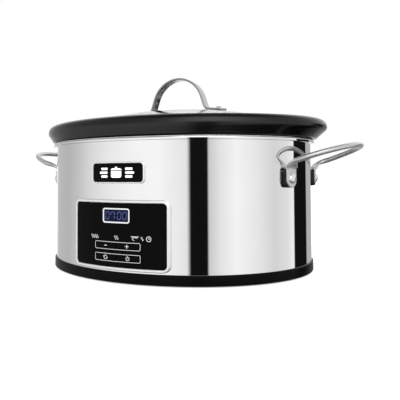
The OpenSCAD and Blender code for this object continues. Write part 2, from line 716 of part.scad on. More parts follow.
// Outline of the crock's wall and rim at this place: [out from the wall, height]
function crock_outline(t) = let (tip = rim_out(t), root = -2, drop = (ridge_z - rim_z) / 24.3,
                                 fullness = 0.5 + 0.5 * (tip - rim_out_front) / (rim_out_end - rim_out_front))
concat(
    [[crock_out - crock_draft - crock_corner, crock_z]],
    [for (s = [30, 60]) [crock_out - crock_draft - crock_corner * (1 - sin(s)),
                         crock_z + crock_corner * (1 - cos(s))]],
    [[crock_out - crock_draft, crock_z + crock_corner],
     [crock_out, rim_z - 8],
     [crock_out, rim_z - 2],
     [crock_out + 2, rim_z],
     [root, rim_z]],
    [for (p = [[0.36, 0.7], [0.54, 3.5], [0.74, 7], [0.93, 10.2]])
        [root + (tip - root) * pow(p[0], fullness), rim_z + p[1] * drop]],
    [[tip, rim_z + 13.2 * drop],
     [tip - 0.6, rim_z + 17.2 * drop],
     [tip - 2.6, rim_z + 20.4 * drop],
     [tip - 6.5, rim_z + 22.6 * drop]],
    [for (s = [0.4, 0.75]) [(tip - 6.5) * (1 - s) + ridge_in * s,
                            rim_z + 22.6 * drop + 1.7 * drop * sin(90 * s)]],
    [[ridge_in, ridge_z],
     [ridge_edge + 0.8, ridge_z - 1],
     [ridge_edge, ledge_top + 0.5],
     [ridge_edge - 0.5, ledge_top],
     [cavity_in + 1, ledge_top],
     [cavity_in, ledge_top - 1.5],
     [cavity_in - cavity_draft, crock_z + crock_floor + cavity_corner]],
    [for (s = [60, 30, 0]) [cavity_in - cavity_draft - cavity_corner * (1 - sin(s)),
                            crock_z + crock_floor + cavity_corner * (1 - cos(s))]]);
crock_rows = len(crock_outline(0));

module crock() color("black") skin([for (i = [0:crock_rows - 1])
    [for (k = [crock_sides - 1:-1:0]) let (t = k * 360 / crock_sides, p = crock_outline(t)[i])
        crock_point(t, p[0], p[1])]]);

// ---- lid ----

function dome_z(r, down) = sqrt(pow(dome_r - down, 2) - r * r) - dome_r + dome_top;

// Ring of the lid's oval, r out from the middle along X, at height z
function lid_ring(r, z) = [for (k = [lid_sides - 1:-1:0]) let (t = k * 360 / lid_sides)
    [r * cos(t), r * lid_ratio * sin(t), z]];
// Radii of the dome's rings, from near the middle to the edge
dome_radii = [for (i = [0:dome_steps]) glass_a * (i + 0.3) / (dome_steps + 0.3)];

module lid_glass() color([0.85, 0.92, 0.94, 0.4]) difference() {
    skin(concat(
        [for (i = [0:dome_steps]) lid_ring(dome_radii[i], dome_z(dome_radii[i], 0) - glass_t)],
        [for (i = [dome_steps:-1:0]) lid_ring(dome_radii[i], dome_z(dome_radii[i], 0))]));
    for (side = [-1, 1]) at_lid_screw(side) cylinder(d = lid_hole_d, h = 20, center = true, $fn = 32);
    translate([0, vent_y, dome_top - 20]) cylinder(d = vent_d + 3, h = 40, $fn = 32);
}

// The band round the glass, with a groove for its edge: [out from the middle, height]
band_in = lid_a - rim_band_w;
groove_end = glass_a + groove_air;
band_line = [
    [band_in, lid_z], [lid_a - 1, lid_z], [lid_a, lid_z + 1], [lid_a, lid_z + rim_band_h - 1],
    [lid_a - 1, lid_z + rim_band_h], [band_in, dome_z(band_in, 0) + groove_air + rim_sheet],
    [band_in, dome_z(band_in, 0) + groove_air], [groove_end, dome_z(groove_end, 0) + groove_air],
    [groove_end, dome_z(groove_end, 0) - glass_t - groove_air],
    [band_in, lid_z + rim_sheet]];

module lid_rim() color("silver") hoop([for (p = band_line) lid_ring(p[0], p[1])]);

// Children are drawn at a lid screw, with +Z out of the glass
module at_lid_screw(side) {
    translate([side * lid_screw_pitch / 2, 0, screw_top_z]) rotate([0, side * foot_tilt, 0]) children();
}

leg_top = [arch_r * cos(splay), arch_r * sin(splay)];
foot_slope = tan(foot_tilt);
foot_base_z = screw_top_z + washer_t / cos(foot_tilt) + 0.05;
leg_knee_z = foot_base_z + 6;
leg_knee_x = leg_top[0] + (arch_z + leg_top[1] - leg_knee_z) * tan(splay);
foot_start_x = leg_knee_x + 7;
foot_end_x = lid_screw_pitch / 2 + strap_foot_out;
function foot_z(x) = foot_base_z - (x - lid_screw_pitch / 2) * foot_slope;

// Right half of the strap's outer line, from the top to the end of the foot
strap_line = concat(
    [for (t = [90:-9:splay + 4]) [arch_r * cos(t), arch_z + arch_r * sin(t)]],
    [[leg_top[0], arch_z + leg_top[1]], [leg_knee_x, leg_knee_z],
     [leg_knee_x + 2.2, leg_knee_z - 2.6 + strap_t / 2],
     [foot_start_x, foot_z(foot_start_x) + strap_t], [foot_end_x, foot_z(foot_end_x) + strap_t]]);
// and its inner line, back from the foot to the top
strap_back = concat(
    [[foot_end_x, foot_z(foot_end_x)], [foot_start_x - 2, foot_z(foot_start_x - 2)],
     [leg_knee_x - 1.2, leg_knee_z - 3.4], [leg_knee_x - strap_t, leg_knee_z - 0.6]],
    [for (t = [splay:9:89]) [(arch_r - strap_t) * cos(t), arch_z + (arch_r - strap_t) * sin(t)]],
    [[0, strap_top - strap_t]]);
function flip_x(line) = [for (i = [len(line) - 1:-1:0]) if (line[i][0] > 0.01) [-line[i][0], line[i][1]]];

module lid_handle() color("silver") difference() {
    translate([0, strap_w / 2, 0]) rotate([90, 0, 0]) linear_extrude(strap_w)
        polygon(concat(flip_x(strap_line), strap_line, strap_back, flip_x(strap_back)));
    for (side = [-1, 1]) at_lid_screw(side) cylinder(d = lid_screw_d + 0.2, h = 20, center = true, $fn = 32);
}

module lid_washers() color("dimgray") for (side = [-1, 1]) at_lid_screw(side)
    for (z = [eps, -glass_t - eps - washer_t]) translate([0, 0, z]) linear_extrude(washer_t - eps) difference() {
        circle(d = washer_d, $fn = 40);
        circle(d = lid_screw_d + 0.2, $fn = 32);
    }

module lid_screws() color("silver") for (side = [-1, 1]) at_lid_screw(side) rotate_extrude($fn = 32) polygon([
    [0, -glass_t - washer_t - 3.2], [4, -glass_t - washer_t - 3.2], [4.6, -glass_t - washer_t - 2.6],
    [4.6, -glass_t - washer_t - 0.2], [lid_screw_d / 2, -glass_t - washer_t - 0.2],
    [lid_screw_d / 2, washer_t + strap_t + 0.25], [4.6, washer_t + strap_t + 0.25],
    [4.6, washer_t + strap_t + 1.2], [3.8, washer_t + strap_t + 2.2], [0, washer_t + strap_t + 2.2]]);

vent_top = dome_z(vent_y / lid_ratio, 0);

module vent_grommet() color("silver") translate([0, vent_y, vent_top]) rotate_extrude($fn = 40) polygon([
    [vent_d / 2, -glass_t - 2.4], [vent_d / 2 + 3.2, -glass_t - 2.4], [vent_d / 2 + 3.2, -glass_t - 1.4],
    [vent_d / 2 + 1.4, -glass_t - 1.4], [vent_d / 2 + 1.4, 1.4], [vent_d / 2 + 3.2, 1.4],
    [vent_d / 2 + 3.2, 2], [vent_d / 2 + 2.4, 2.6], [vent_d / 2, 2.6]]);

outer_shell();
plinth_ring();
bottom_plate();
rubber_feet();
plinth_screws();
tie_rods();
heating_well();
heater_band();
heater_clamp();
insulation_wrap();
temperature_sensor();
sensor_bracket();
thermal_fuse();
fuse_clip();
supply_wires();
cord_gland();
gland_nut();
panel_frame();
panel_face();
display_frame();
display_window();
display_module();
control_board();
tact_switches();
mode_lamps();
panel_tray();
board_screws();
key_minus();
key_plus();
key_select();
key_power();
badge_frame();
badge_plate();
handle_left();
handle_right();
handle_spacers();
handle_rivets();
crock();
lid_glass();
lid_rim();
lid_handle();
lid_washers();
lid_screws();
vent_grommet();
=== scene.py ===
"""Looks of an oval slow cooker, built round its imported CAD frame.

+Z is up and -Y is the front. Shapes are in millimetres until new_piece brings them to metres. Each piece
has its own function; sizes come from the frame's boxes and from the named values below.
"""

import contextlib
import functools
import math

import bmesh
import bpy
from mathutils import Matrix, Vector


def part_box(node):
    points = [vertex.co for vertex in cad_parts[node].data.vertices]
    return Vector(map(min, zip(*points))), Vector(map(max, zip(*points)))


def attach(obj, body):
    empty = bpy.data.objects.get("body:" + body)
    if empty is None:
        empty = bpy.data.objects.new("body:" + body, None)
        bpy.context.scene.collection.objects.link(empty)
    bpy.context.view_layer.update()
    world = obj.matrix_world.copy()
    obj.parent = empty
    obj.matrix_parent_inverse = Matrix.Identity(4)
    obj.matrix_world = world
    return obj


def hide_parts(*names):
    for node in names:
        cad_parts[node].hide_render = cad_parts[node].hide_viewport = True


MM = 0.001

# ---- sizes that the boxes don't give ----

LIP_OUT = 4.6
LIP_H = 3.6
SHEET = 0.9
WELL_SHEET = 1.0
WELL_GAP = 20
PLINTH_WALL = 2.4
SCREW_LEDGE = (4.5, 7.0)                # underside and top of the plinth's screw ledge
LEDGE_IN = 16
TONGUE = 5
FOOT_R = 11
FRAME_W = 3.4
PANEL_R = 8
FACE_BACK = 0.6
FACE_FRONT = 2.4
WINDOW_EDGE = 6
KEY_GAP = 0.4
KEY_R = 1.2
KEY_PROUD = 0.5                         # how far the keys stand past the panel's face
DISPLAY_EDGE = 1.6
DISPLAY_R = 2.8
PANE_SUNK = 0.4                         # how far the display's pane lies under the panel's face
BADGE_R = 5.5
SEAT_AIR = 0.05                         # between the wall and what lies on it
PRINT_T = 0.06                          # how far printed signs stand proud
PRINT_SUNK = 0.02                       # how far they reach into what they are printed on
GLASS_T = 3.2
RIM_BAND_W = 4.5
RIM_SHEET = 0.6
RIM_AIR = 0.15                          # between the glass and its band
SEAL_T = 0.8
SEAL_R, SEAL_BORE = 6.5, 2.1
SEAL_AIR = 0.05                         # between a seal and the strap or the glass
STRAP_T = 2.8
ARCH_R = 39.2
SPLAY = math.radians(19)
LID_SCREW_X = 59
RIVET_ANGLE = math.radians(24)
RIVET_HEAD_D = 11.6
SPACER_T = 4.5
SPACER_W, SPACER_H = 15, 21
TAB_T = 2.4
TAB_W = 15
TAB_BELOW, TAB_ABOVE = 9.6, 10.5        # how far a tab reaches below and above its rivet
BAR_D = 6.2
CAD_SIDES = 96                          # sides of the CAD model's ovals
AROUND = 192                            # sides of the ovals drawn here
DOUBLE = 1e-4                           # points nearer than this are one
KEYS = ["key_minus", "key_plus", "key_select", "key_power"]


@functools.cache
def node_box(node):
    """Corners of a CAD node's box, measured once."""
    return [[value / MM for value in corner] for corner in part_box(node)]


def box_centre(node):
    low, high = node_box(node)
    return (low[0] + high[0]) / 2, (low[2] + high[2]) / 2


def box_size(node):
    low, high = node_box(node)
    return high[0] - low[0], high[2] - low[2]


# ---- node helpers ----

def fill(node, **values):
    """Sets a node's settings in small letters, and its inputs, from values or sockets, by name or iNUMBER."""
    for key, value in values.items():
        if hasattr(node, key) and key.islower():
            setattr(node, key, value)
            continue
        socket = node.inputs[int(key[1:]) if key[0] == "i" and key[1:].isdigit() else key.replace("_", " ")]
        if isinstance(value, bpy.types.NodeSocket):
            node.id_data.links.new(value, socket)
        else:
            socket.default_value = value
    return node


def put(tree, kind, **values):
    return fill(tree.nodes.new(kind), **values)


def calc(tree, kind, *values, **settings):
    node = put(tree, "ShaderNodeMath", operation=kind, **settings)
    return fill(node, **{"i%d" % k: value for k, value in enumerate(values)}).outputs[0]


def new_group(name, kind, inputs, outputs, output_sort="Float"):
    """A node group from its inputs, (name, type, value or None), and its outputs' names."""
    tree = bpy.data.node_groups.new(name, kind)
    for label, sort, value in inputs:
        socket = tree.interface.new_socket(name=label, in_out="INPUT", socket_type="NodeSocket" + sort)
        if value is not None:
            socket.default_value = value
    for label in outputs:
        tree.interface.new_socket(name=label, in_out="OUTPUT", socket_type="NodeSocket" + output_sort)
    return tree, tree.nodes.new("NodeGroupInput").outputs, tree.nodes.new("NodeGroupOutput")


# ---- camera, light and floor ----

def camera():
    lens = bpy.data.cameras.new("camera")
    lens.lens = 44.66
    lens.sensor_width = 36
    lens.shift_x = -0.00125
    lens.shift_y = -0.1058
    lens.clip_start = 0.01
    eye = bpy.data.objects.new("camera", lens)
    place = Matrix.Translation((0.33224, -0.58399, 0.11964))
    turn = Matrix.Rotation(0.4754, 4, "Z")
    pitch = Matrix.Rotation(math.pi / 2 + 0.0318, 4, "X")
    roll = Matrix.Rotation(-0.0053, 4, "Z")
    eye.matrix_world = place @ turn @ pitch @ roll
    bpy.context.scene.collection.objects.link(eye)
    bpy.context.scene.camera = eye


# Brightness that polished metal mirrors, by the direction it comes from: (degrees from +X, brightness).
# The two dark bands are the black flags that a studio stands beside polished steel.
FLAGS = [(-180, 0.50), (-165, 0.60), (-150, 0.78), (-135, 0.90), (-115, 1.02), (-95, 1.04), (-77, 0.90),
         (-73.4, 0.85), (-72.8, 0.006), (-58.6, 0.006), (-58.0, 0.66), (-48, 0.88), (-35, 1.02), (-15, 0.90),
         (5, 0.74), (24, 0.82), (35.1, 0.98), (35.9, 0.006), (66.6, 0.006), (67.6, 0.47), (90, 0.45),
         (104, 1.05), (140, 1.05), (153, 0.55), (180, 0.50)]
# The same for light from over the flags
OVERHEAD = [(-180, 0.4), (-125, 0.5), (-105, 0.55), (-90, 0.9), (-75, 2.0), (-60, 2.5), (-45, 1.8),
            (-20, 0.8), (0, 0.7), (30, 0.8), (60, 1.1), (75, 1.3), (100, 1.1), (140, 1.1), (160, 0.5),
            (180, 0.4)]
# Heights between which the flags end, in radians
FLAG_TOP = (math.radians(7), math.radians(12))
# What both are multiplied by: (degrees above the horizon, share)
HEIGHTS = [(-90, 0.02), (-38, 0.03), (-24, 0.5), (-17, 1.0), (25, 1.0), (42, 1.0), (56, 0.35), (75, 0.08),
           (90, 0.08)]
PLAIN = 1.0                             # what the camera sees behind the object
SOFT_EXTRA = 0.6                        # how much more reaches matt surfaces


def ramp(tree, stops, span, where):
    """Brightness between stops of (degrees, brightness) over a span of degrees, where 0 to 1 is the span."""
    node = put(tree, "ShaderNodeValToRGB", i0=where)
    band = node.color_ramp
    while len(band.elements) < len(stops):
        band.elements.new(1.0)
    for stop, (angle, level) in zip(band.elements, stops):
        stop.position = (angle + span / 2) / span
        stop.color = (level, level, level, 1)
    return node.outputs[0]


def studio():
    """Light that polished metal mirrors as a dark and bright room, and all else sees as plain white."""
    world = bpy.data.worlds.new("studio")
    bpy.context.scene.world = world
    world.use_nodes = True
    tree = world.node_tree
    east, north, up = put(tree, "ShaderNodeSeparateXYZ",
                          i0=put(tree, "ShaderNodeTexCoord").outputs["Generated"]).outputs
    height = calc(tree, "ARCSINE", up)
    turned = calc(tree, "MULTIPLY_ADD", calc(tree, "ARCTAN2", north, east), 0.5 / math.pi, 0.5)
    raised = calc(tree, "MULTIPLY_ADD", height, 1 / math.pi, 0.5)
    over_flags = put(tree, "ShaderNodeMapRange", Value=height, From_Min=FLAG_TOP[0], From_Max=FLAG_TOP[1])
    sides = put(tree, "ShaderNodeMix", Factor=over_flags.outputs[0], A=ramp(tree, FLAGS, 360, turned),
                B=ramp(tree, OVERHEAD, 360, turned))
    mirrored = calc(tree, "MULTIPLY", sides.outputs["Result"], ramp(tree, HEIGHTS, 180, raised))
    path = put(tree, "ShaderNodeLightPath").outputs
    in_gloss = calc(tree, "MULTIPLY", calc(tree, "MINIMUM", path["Glossy Depth"], 1.0),
                    calc(tree, "SUBTRACT", 1.0, path["Is Diffuse Ray"]))
    plain = calc(tree, "MULTIPLY_ADD", path["Is Diffuse Ray"], SOFT_EXTRA, PLAIN)
    pick = put(tree, "ShaderNodeMix", Factor=in_gloss, A=plain, B=mirrored)
    fill(tree.nodes["Background"], Color=pick.outputs["Result"])
    bpy.context.scene.view_settings.view_transform = "Standard"


def paper():
    """Pale floor that is clear from below, so that the underside can be seen."""
    skin, tree, shader = surface("pale floor", 0.95, Roughness=0.9, Specular_IOR_Level=0.0,
                                 Emission_Color=(1, 1, 1, 1), Emission_Strength=0.35)
    side = put(tree, "ShaderNodeNewGeometry")
    clear = put(tree, "ShaderNodeBsdfTransparent")
    pick = put(tree, "ShaderNodeMixShader", i0=side.outputs["Backfacing"], i1=shader.outputs[0],
               i2=clear.outputs[0])
    fill(tree.nodes["Material Output"], Surface=pick.outputs[0])
    return skin


def floor():
    sheet = bpy.data.meshes.new("floor")
    far = 6
    sheet.from_pydata([(-far, -far, 0), (far, -far, 0), (far, far, 0), (-far, far, 0)], [], [(0, 1, 2, 3)])
    sheet.materials.append(paper())
    ground = bpy.data.objects.new("floor", sheet)
    ground.visible_glossy = False
    bpy.context.scene.collection.objects.link(ground)


# ---- shader groups ----

def noise(tree, vector, scale, detail):
    return put(tree, "ShaderNodeTexNoise", Vector=vector, Scale=scale, Detail=detail).outputs[0]


@functools.cache
def grain_group():
    """Fine marks drawn out along one direction, as brushing and polishing leave them."""
    tree, given, result = new_group(
        "drawn grain", "ShaderNodeTree",
        [("Stretch", "Vector", (60, 60, 2500)), ("Roughness", "Float", 0.2), ("Spread", "Float", 0.1),
         ("Smudge", "Float", 0.05)],
        ["Roughness", "Height", "Tone"])
    where = object_place(tree)
    stretched = put(tree, "ShaderNodeVectorMath", operation="MULTIPLY", i0=where, i1=given["Stretch"])
    lines = noise(tree, stretched.outputs[0], 1.0, 4.0)
    cloud = noise(tree, where, 28.0, 3.0)
    centred = calc(tree, "SUBTRACT", lines, 0.5)
    drawn = calc(tree, "MULTIPLY_ADD", centred, given["Spread"], given["Roughness"])
    smudged = calc(tree, "MULTIPLY_ADD", calc(tree, "SUBTRACT", cloud, 0.45), given["Smudge"], drawn)
    fill(result, Roughness=smudged, Height=lines, Tone=cloud)
    return tree


@functools.cache
def moulded_group():
    """The fine pebbled skin of moulded plastic and rubber, with a little dust on what faces up."""
    tree, given, result = new_group(
        "moulded skin", "ShaderNodeTree",
        [("Scale", "Float", 900.0), ("Roughness", "Float", 0.4), ("Spread", "Float", 0.1),
         ("Dust", "Float", 0.2)],
        ["Roughness", "Height", "Dust"])
    where = object_place(tree)
    pebbles = noise(tree, where, given["Scale"], 2.0)
    cloud = noise(tree, where, 60.0, 4.0)
    facing = put(tree, "ShaderNodeSeparateXYZ", i0=put(tree, "ShaderNodeNewGeometry").outputs["Normal"])
    upward = calc(tree, "MULTIPLY", facing.outputs[2], cloud, use_clamp=True)
    centred = calc(tree, "SUBTRACT", cloud, 0.5)
    rough = calc(tree, "MULTIPLY_ADD", centred, given["Spread"], given["Roughness"])
    fill(result, Roughness=rough, Height=pebbles, Dust=calc(tree, "MULTIPLY", upward, given["Dust"]))
    return tree


def place_group(tree, make, **values):
    return put(tree, "ShaderNodeGroup", node_tree=make(), **values).outputs


# ---- materials ----

def rgb(color):
    """A colour as three numbers; one number is a grey."""
    return (color,) * 3 if isinstance(color, float) else color


def object_place(tree):
    return put(tree, "ShaderNodeTexCoord").outputs["Object"]


def surface(name, color, **sockets):
    """A Principled material; sockets are set by name, with _ for a space."""
    skin = bpy.data.materials.new(name)
    skin.use_nodes = True
    shader = skin.node_tree.nodes["Principled BSDF"]
    fill(shader, Base_Color=(*rgb(color), 1), **sockets)
    return skin, skin.node_tree, shader


def bump(tree, shader, height, strength, distance=0.0001):
    node = put(tree, "ShaderNodeBump", Strength=strength, Distance=distance, Height=height)
    fill(shader, Normal=node.outputs[0])


def tint(tree, shader, mask, dark, light, socket="Base_Color"):
    """Colour from dark to light by a mask."""
    mix = put(tree, "ShaderNodeMix", data_type="RGBA", i0=mask, i6=(*rgb(dark), 1), i7=(*rgb(light), 1))
    fill(shader, **{socket: mix.outputs[2]})


# Greys in the tone's dark and light parts, roughness, its spread, how the marks are stretched, smudges,
# relief and how metallic it is
METALS = {
    "polished steel": (0.85, 0.90, 0.035, 0.012, (5, 5, 1500), 0.012, 0.008, 1.0),
    "bright trim": (0.92, 0.96, 0.42, 0.06, (40, 40, 40), 0.04, 0.01, 0.8),
    "satin handle steel": (0.60, 0.68, 0.38, 0.1, (300, 300, 300), 0.06, 0.05, 0.85),
    "brushed strap steel": (0.34, 0.42, 0.15, 0.06, (60, 2600, 60), 0.03, 0.02, 1.0),
    "polished rivet steel": (0.80, 0.88, 0.24, 0.05, (200, 200, 200), 0.05, 0.02, 0.85),
    "plated screw steel": ((0.50, 0.49, 0.46), (0.64, 0.63, 0.60), 0.3, 0.1, (300, 300, 300), 0.1, 0.05, 1.0),
    "polished lid rim": (0.70, 0.78, 0.16, 0.06, (5, 5, 1500), 0.04, 0.02, 1.0)}

# Colour, colour of the dust on it, roughness, and what differs from a plain moulding
PLASTICS = {
    "plinth plastic": (0.002, 0.008, 0.34, {"scale": 1400.0, "Specular_IOR_Level": 0.06}),
    "panel gloss": (0.002, 0.006, 0.2, {"relief": 0.01, "Specular_IOR_Level": 0.03}),
    "key gloss": (0.002, 0.006, 0.24, {"relief": 0.02, "Specular_IOR_Level": 0.035}),
    "badge gloss": (0.002, 0.01, 0.2, {"relief": 0.01, "Specular_IOR_Level": 0.04}),
    "spacer plastic": (0.006, 0.02, 0.3, {"Specular_IOR_Level": 0.25}),
    "foot rubber": (0.02, (0.07, 0.065, 0.06), 0.75,
                    {"scale": 500.0, "dust": 0.5, "relief": 0.4, "Specular_IOR_Level": 0.3}),
    "gland plastic": (0.012, 0.04, 0.45, {"Specular_IOR_Level": 0.4}),
    "dark moulding": ((0.03, 0.03, 0.032), 0.08, 0.5, {"relief": 0.2}),
    "white ceramic": ((0.82, 0.80, 0.76), (0.6, 0.58, 0.54), 0.35, {"scale": 700.0}),
    "lamp lens": ((0.8, 0.8, 0.76), (0.7, 0.7, 0.66), 0.15, {"relief": 0.0, "Transmission_Weight": 0.4}),
    "wire rubber": ((0.22, 0.06, 0.03), (0.35, 0.2, 0.15), 0.5, {"scale": 600.0}),
    "display glass": ((0.002, 0.003, 0.014), (0.004, 0.006, 0.02), 0.12,
                      {"relief": 0.0, "Specular_IOR_Level": 0.1}),
    "display trim": ((0.60, 0.62, 0.66), (0.66, 0.68, 0.72), 0.3, {"relief": 0.02}),
    "pale print": (0.62, 0.66, 0.5, {"scale": 2500.0, "relief": 0.05}),
    "white print": (0.90, 0.92, 0.45, {"scale": 2500.0, "relief": 0.05})}


def metal(name):
    """Drawn or brushed metal whose marks run across the largest number in stretch."""
    dark, light, rough, spread, stretch, smudge, relief, metallic = METALS[name]
    skin, tree, shader = surface(name, light, Metallic=metallic)
    marks = place_group(tree, grain_group, Stretch=stretch, Roughness=rough, Spread=spread, Smudge=smudge)
    fill(shader, Roughness=marks["Roughness"])
    tint(tree, shader, marks["Tone"], dark, light)
    bump(tree, shader, marks["Height"], relief)
    return skin


def plastic(name, spread=0.08, scale=900.0, dust=0.2, relief=0.1, **sockets):
    color, dusty, rough = PLASTICS[name][:3]
    skin, tree, shader = surface(name, color, **sockets)
    marks = place_group(tree, moulded_group, Scale=scale, Roughness=rough, Spread=spread, Dust=dust)
    fill(shader, Roughness=marks["Roughness"])
    tint(tree, shader, marks["Dust"], color, dusty)
    bump(tree, shader, marks["Height"], relief)
    return skin


def zinc_sheet():
    """Plated sheet with the large soft spangles that zinc leaves."""
    skin, tree, shader = surface("zinc sheet", (0.55, 0.56, 0.57), Metallic=1.0)
    spangle = put(tree, "ShaderNodeTexVoronoi", Vector=object_place(tree), Scale=120.0)
    tint(tree, shader, spangle.outputs["Color"], (0.42, 0.43, 0.45), (0.60, 0.61, 0.62))
    marks = place_group(tree, grain_group, Stretch=(300, 300, 300), Roughness=0.38, Spread=0.12)
    fill(shader, Roughness=marks["Roughness"])
    return skin


def spun_aluminium():
    """Satin sheet with the rings that spinning leaves."""
    skin, tree, shader = surface("spun aluminium", (0.72, 0.72, 0.73), Metallic=1.0)
    rings = put(tree, "ShaderNodeTexWave", wave_type="RINGS", rings_direction="SPHERICAL",
                Vector=object_place(tree), Scale=160.0, Distortion=1.2, Detail=2.0).outputs["Color"]
    tint(tree, shader, rings, (0.62, 0.62, 0.63), (0.76, 0.76, 0.77))
    marks = place_group(tree, grain_group, Stretch=(20, 20, 900), Roughness=0.34, Spread=0.15, Smudge=0.1)
    fill(shader, Roughness=marks["Roughness"])
    bump(tree, shader, rings, 0.08)
    return skin


def board_green():
    """Solder mask over faint copper runs."""
    skin, tree, shader = surface("board green", (0.01, 0.12, 0.04), Roughness=0.3)
    runs = put(tree, "ShaderNodeTexBrick", Vector=object_place(tree), Scale=220.0,
               Color1=(0.010, 0.11, 0.035, 1), Color2=(0.014, 0.15, 0.050, 1), Mortar=(0.03, 0.24, 0.09, 1))
    fill(shader, Base_Color=runs.outputs["Color"])
    bump(tree, shader, runs.outputs["Fac"], 0.2)
    return skin


def woven(name, warp, weft, scale, rough):
    """Glass cloth and tape: two sets of threads over and under each other."""
    skin, tree, shader = surface(name, warp, Roughness=rough, Sheen_Weight=0.2)
    rows, posts = (put(tree, "ShaderNodeTexWave", bands_direction=way, Vector=object_place(tree), Scale=scale,
                       Distortion=0.6).outputs["Fac"] for way in ("Z", "DIAGONAL"))
    weave = calc(tree, "MULTIPLY", rows, posts)
    tint(tree, shader, weave, weft, warp)
    bump(tree, shader, weave, 0.5, 0.0003)
    return skin


def mica_band():
    return woven("mica band", (0.62, 0.50, 0.32), (0.35, 0.26, 0.15), 260.0, 0.6)


def glass_fibre():
    return woven("glass fibre", (0.86, 0.84, 0.76), (0.62, 0.60, 0.52), 160.0, 0.9)


def crock_glaze():
    """Black glaze that pools a little unevenly, over pale raw clay on the foot that stands in the well."""
    low = node_box("crock")[0][2]
    skin, tree, shader = surface("crock glaze", 0.004, Specular_IOR_Level=0.42, Coat_Weight=0.0)
    where = object_place(tree)
    pooled = noise(tree, where, 22.0, 2.0)
    pinholes = noise(tree, where, 420.0, 1.0)
    height = put(tree, "ShaderNodeSeparateXYZ", i0=where).outputs[2]
    raw = put(tree, "ShaderNodeMapRange", Value=height, From_Min=(low + 0.6) * MM, From_Max=(low + 0.3) * MM)
    tint(tree, shader, raw.outputs[0], (0.002, 0.002, 0.0022), (0.42, 0.36, 0.28))
    rough = put(tree, "ShaderNodeMapRange", Value=pooled, To_Min=0.15, To_Max=0.27)
    fill(shader, Roughness=calc(tree, "MAXIMUM", rough.outputs[0], raw.outputs[0]))
    bump(tree, shader, calc(tree, "MULTIPLY_ADD", pinholes, 0.04, pooled), 0.05, 0.002)
    return skin


def clear_glass():
    skin, tree, shader = surface("clear glass", (0.97, 0.985, 0.98), Transmission_Weight=1.0, IOR=1.5)
    marks = place_group(tree, grain_group, Stretch=(30, 30, 30), Roughness=0.015, Spread=0.02, Smudge=0.04)
    fill(shader, Roughness=marks["Roughness"])
    return skin


def lit_digits():
    skin, tree, shader = surface("lit digits", (0.02, 0.03, 0.12), Emission_Strength=0.17, Roughness=0.4)
    cells = put(tree, "ShaderNodeTexNoise", Vector=object_place(tree), Scale=900.0)
    tint(tree, shader, cells.outputs[0], (0.09, 0.17, 0.85), (0.16, 0.26, 1.0), "Emission_Color")
    return skin


@functools.cache
def finish(name):
    """The material of this name, made once."""
    if name in METALS:
        return metal(name)
    if name in PLASTICS:
        return plastic(name, **PLASTICS[name][3])
    return {"zinc sheet": zinc_sheet, "spun aluminium": spun_aluminium, "board green": board_green,
            "mica band": mica_band, "glass fibre": glass_fibre, "crock glaze": crock_glaze,
            "clear glass": clear_glass, "lit digits": lit_digits}[name]()


# ---- mesh helpers ----

@contextlib.contextmanager
def edited(mesh, outwards=True):
    """The mesh to change in place, with its faces turned outwards at the end."""
    work = bmesh.new()
    work.from_mesh(mesh)
    yield work
    if outwards:
        bmesh.ops.recalc_face_normals(work, faces=work.faces)
    work.to_mesh(mesh)
    work.free()


def new_piece(name, mesh, skin, body, nodes=(), sharp=40.0):
    """Links a finished mesh as a piece: in metres, smooth, in its material, riding its body."""
    mesh.name = name
    mesh.transform(Matrix.Scale(MM, 4))
    mesh.materials.clear()
    mesh.materials.append(finish(skin))
    mesh.polygons.foreach_set("use_smooth", [True] * len(mesh.polygons))
    mesh.set_sharp_from_angle(angle=math.radians(sharp))
    piece = bpy.data.objects.new(name, mesh)
    bpy.context.scene.collection.objects.link(piece)
    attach(piece, body)
    if nodes:
        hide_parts(*nodes)


def mesh_of(points, faces):
    """A closed mesh with its doubles merged and its faces outwards."""
    mesh = bpy.data.meshes.new("mesh")
    mesh.from_pydata([tuple(p) for p in points], [], faces)
    with edited(mesh) as work:
        bmesh.ops.remove_doubles(work, verts=work.verts, dist=DOUBLE)
        bmesh.ops.dissolve_degenerate(work, edges=work.edges, dist=DOUBLE)
    return mesh


def joined(meshes):
    """Several meshes as one."""
    mesh = bpy.data.meshes.new("joined")
    with edited(mesh, False) as whole:
        for part in meshes:
            whole.from_mesh(part)
    return mesh


def moved(mesh, place):
    mesh.transform(place)
    return mesh


def circle(count, first=0, last=360):
    """That many angles in radians, at equal steps from first towards last, which are in degrees."""
    return [math.radians(first + (last - first) * k / count) for k in range(count)]


def rounded(corners, closed=True, steps=5):
    """A line through corners (x, y) or (x, y, radius), with each that has a radius turned into an arc."""
    line = []
    count = len(corners)
    for i, (x, y, *given) in enumerate(corners):
        here = Vector((x, y))
        radius = given[0] if given else 0
        if radius == 0 or (not closed and i in (0, count - 1)):
            line.append(here)
            continue
        before = (Vector(corners[i - 1][:2]) - here).normalized()
        after = (Vector(corners[(i + 1) % count][:2]) - here).normalized()
        half = before.angle(after) / 2
        start = here + before * radius / math.tan(half)
        end = here + after * radius / math.tan(half)
        centre = here + (before + after).normalized() * radius / math.sin(half)
        turn = (start - centre).angle_signed(end - centre)
        for k in range(steps + 1):
            spoke = (start - centre).copy()
            spoke.rotate(Matrix.Rotation(-turn * k / steps, 2))
            line.append(centre + spoke)
    return line


def ring_faces(n, first, second):
    """Faces between two rings of n points."""
    a, b = first * n, second * n
    return [(a + k, a + (k + 1) % n, b + (k + 1) % n, b + k) for k in range(n)]


def rings_mesh(rings, closed=False):
    """Skin over rings of equal length. Closed joins the last ring to the first, else the ends are capped."""
    n, m = len(rings[0]), len(rings)
    faces = [face for i in range(m if closed else m - 1) for face in ring_faces(n, i, (i + 1) % m)]
    if not closed:
        faces += [tuple(range(n)), tuple((m - 1) * n + k for k in range(n))]
    return mesh_of([p for ring in rings for p in ring], faces)


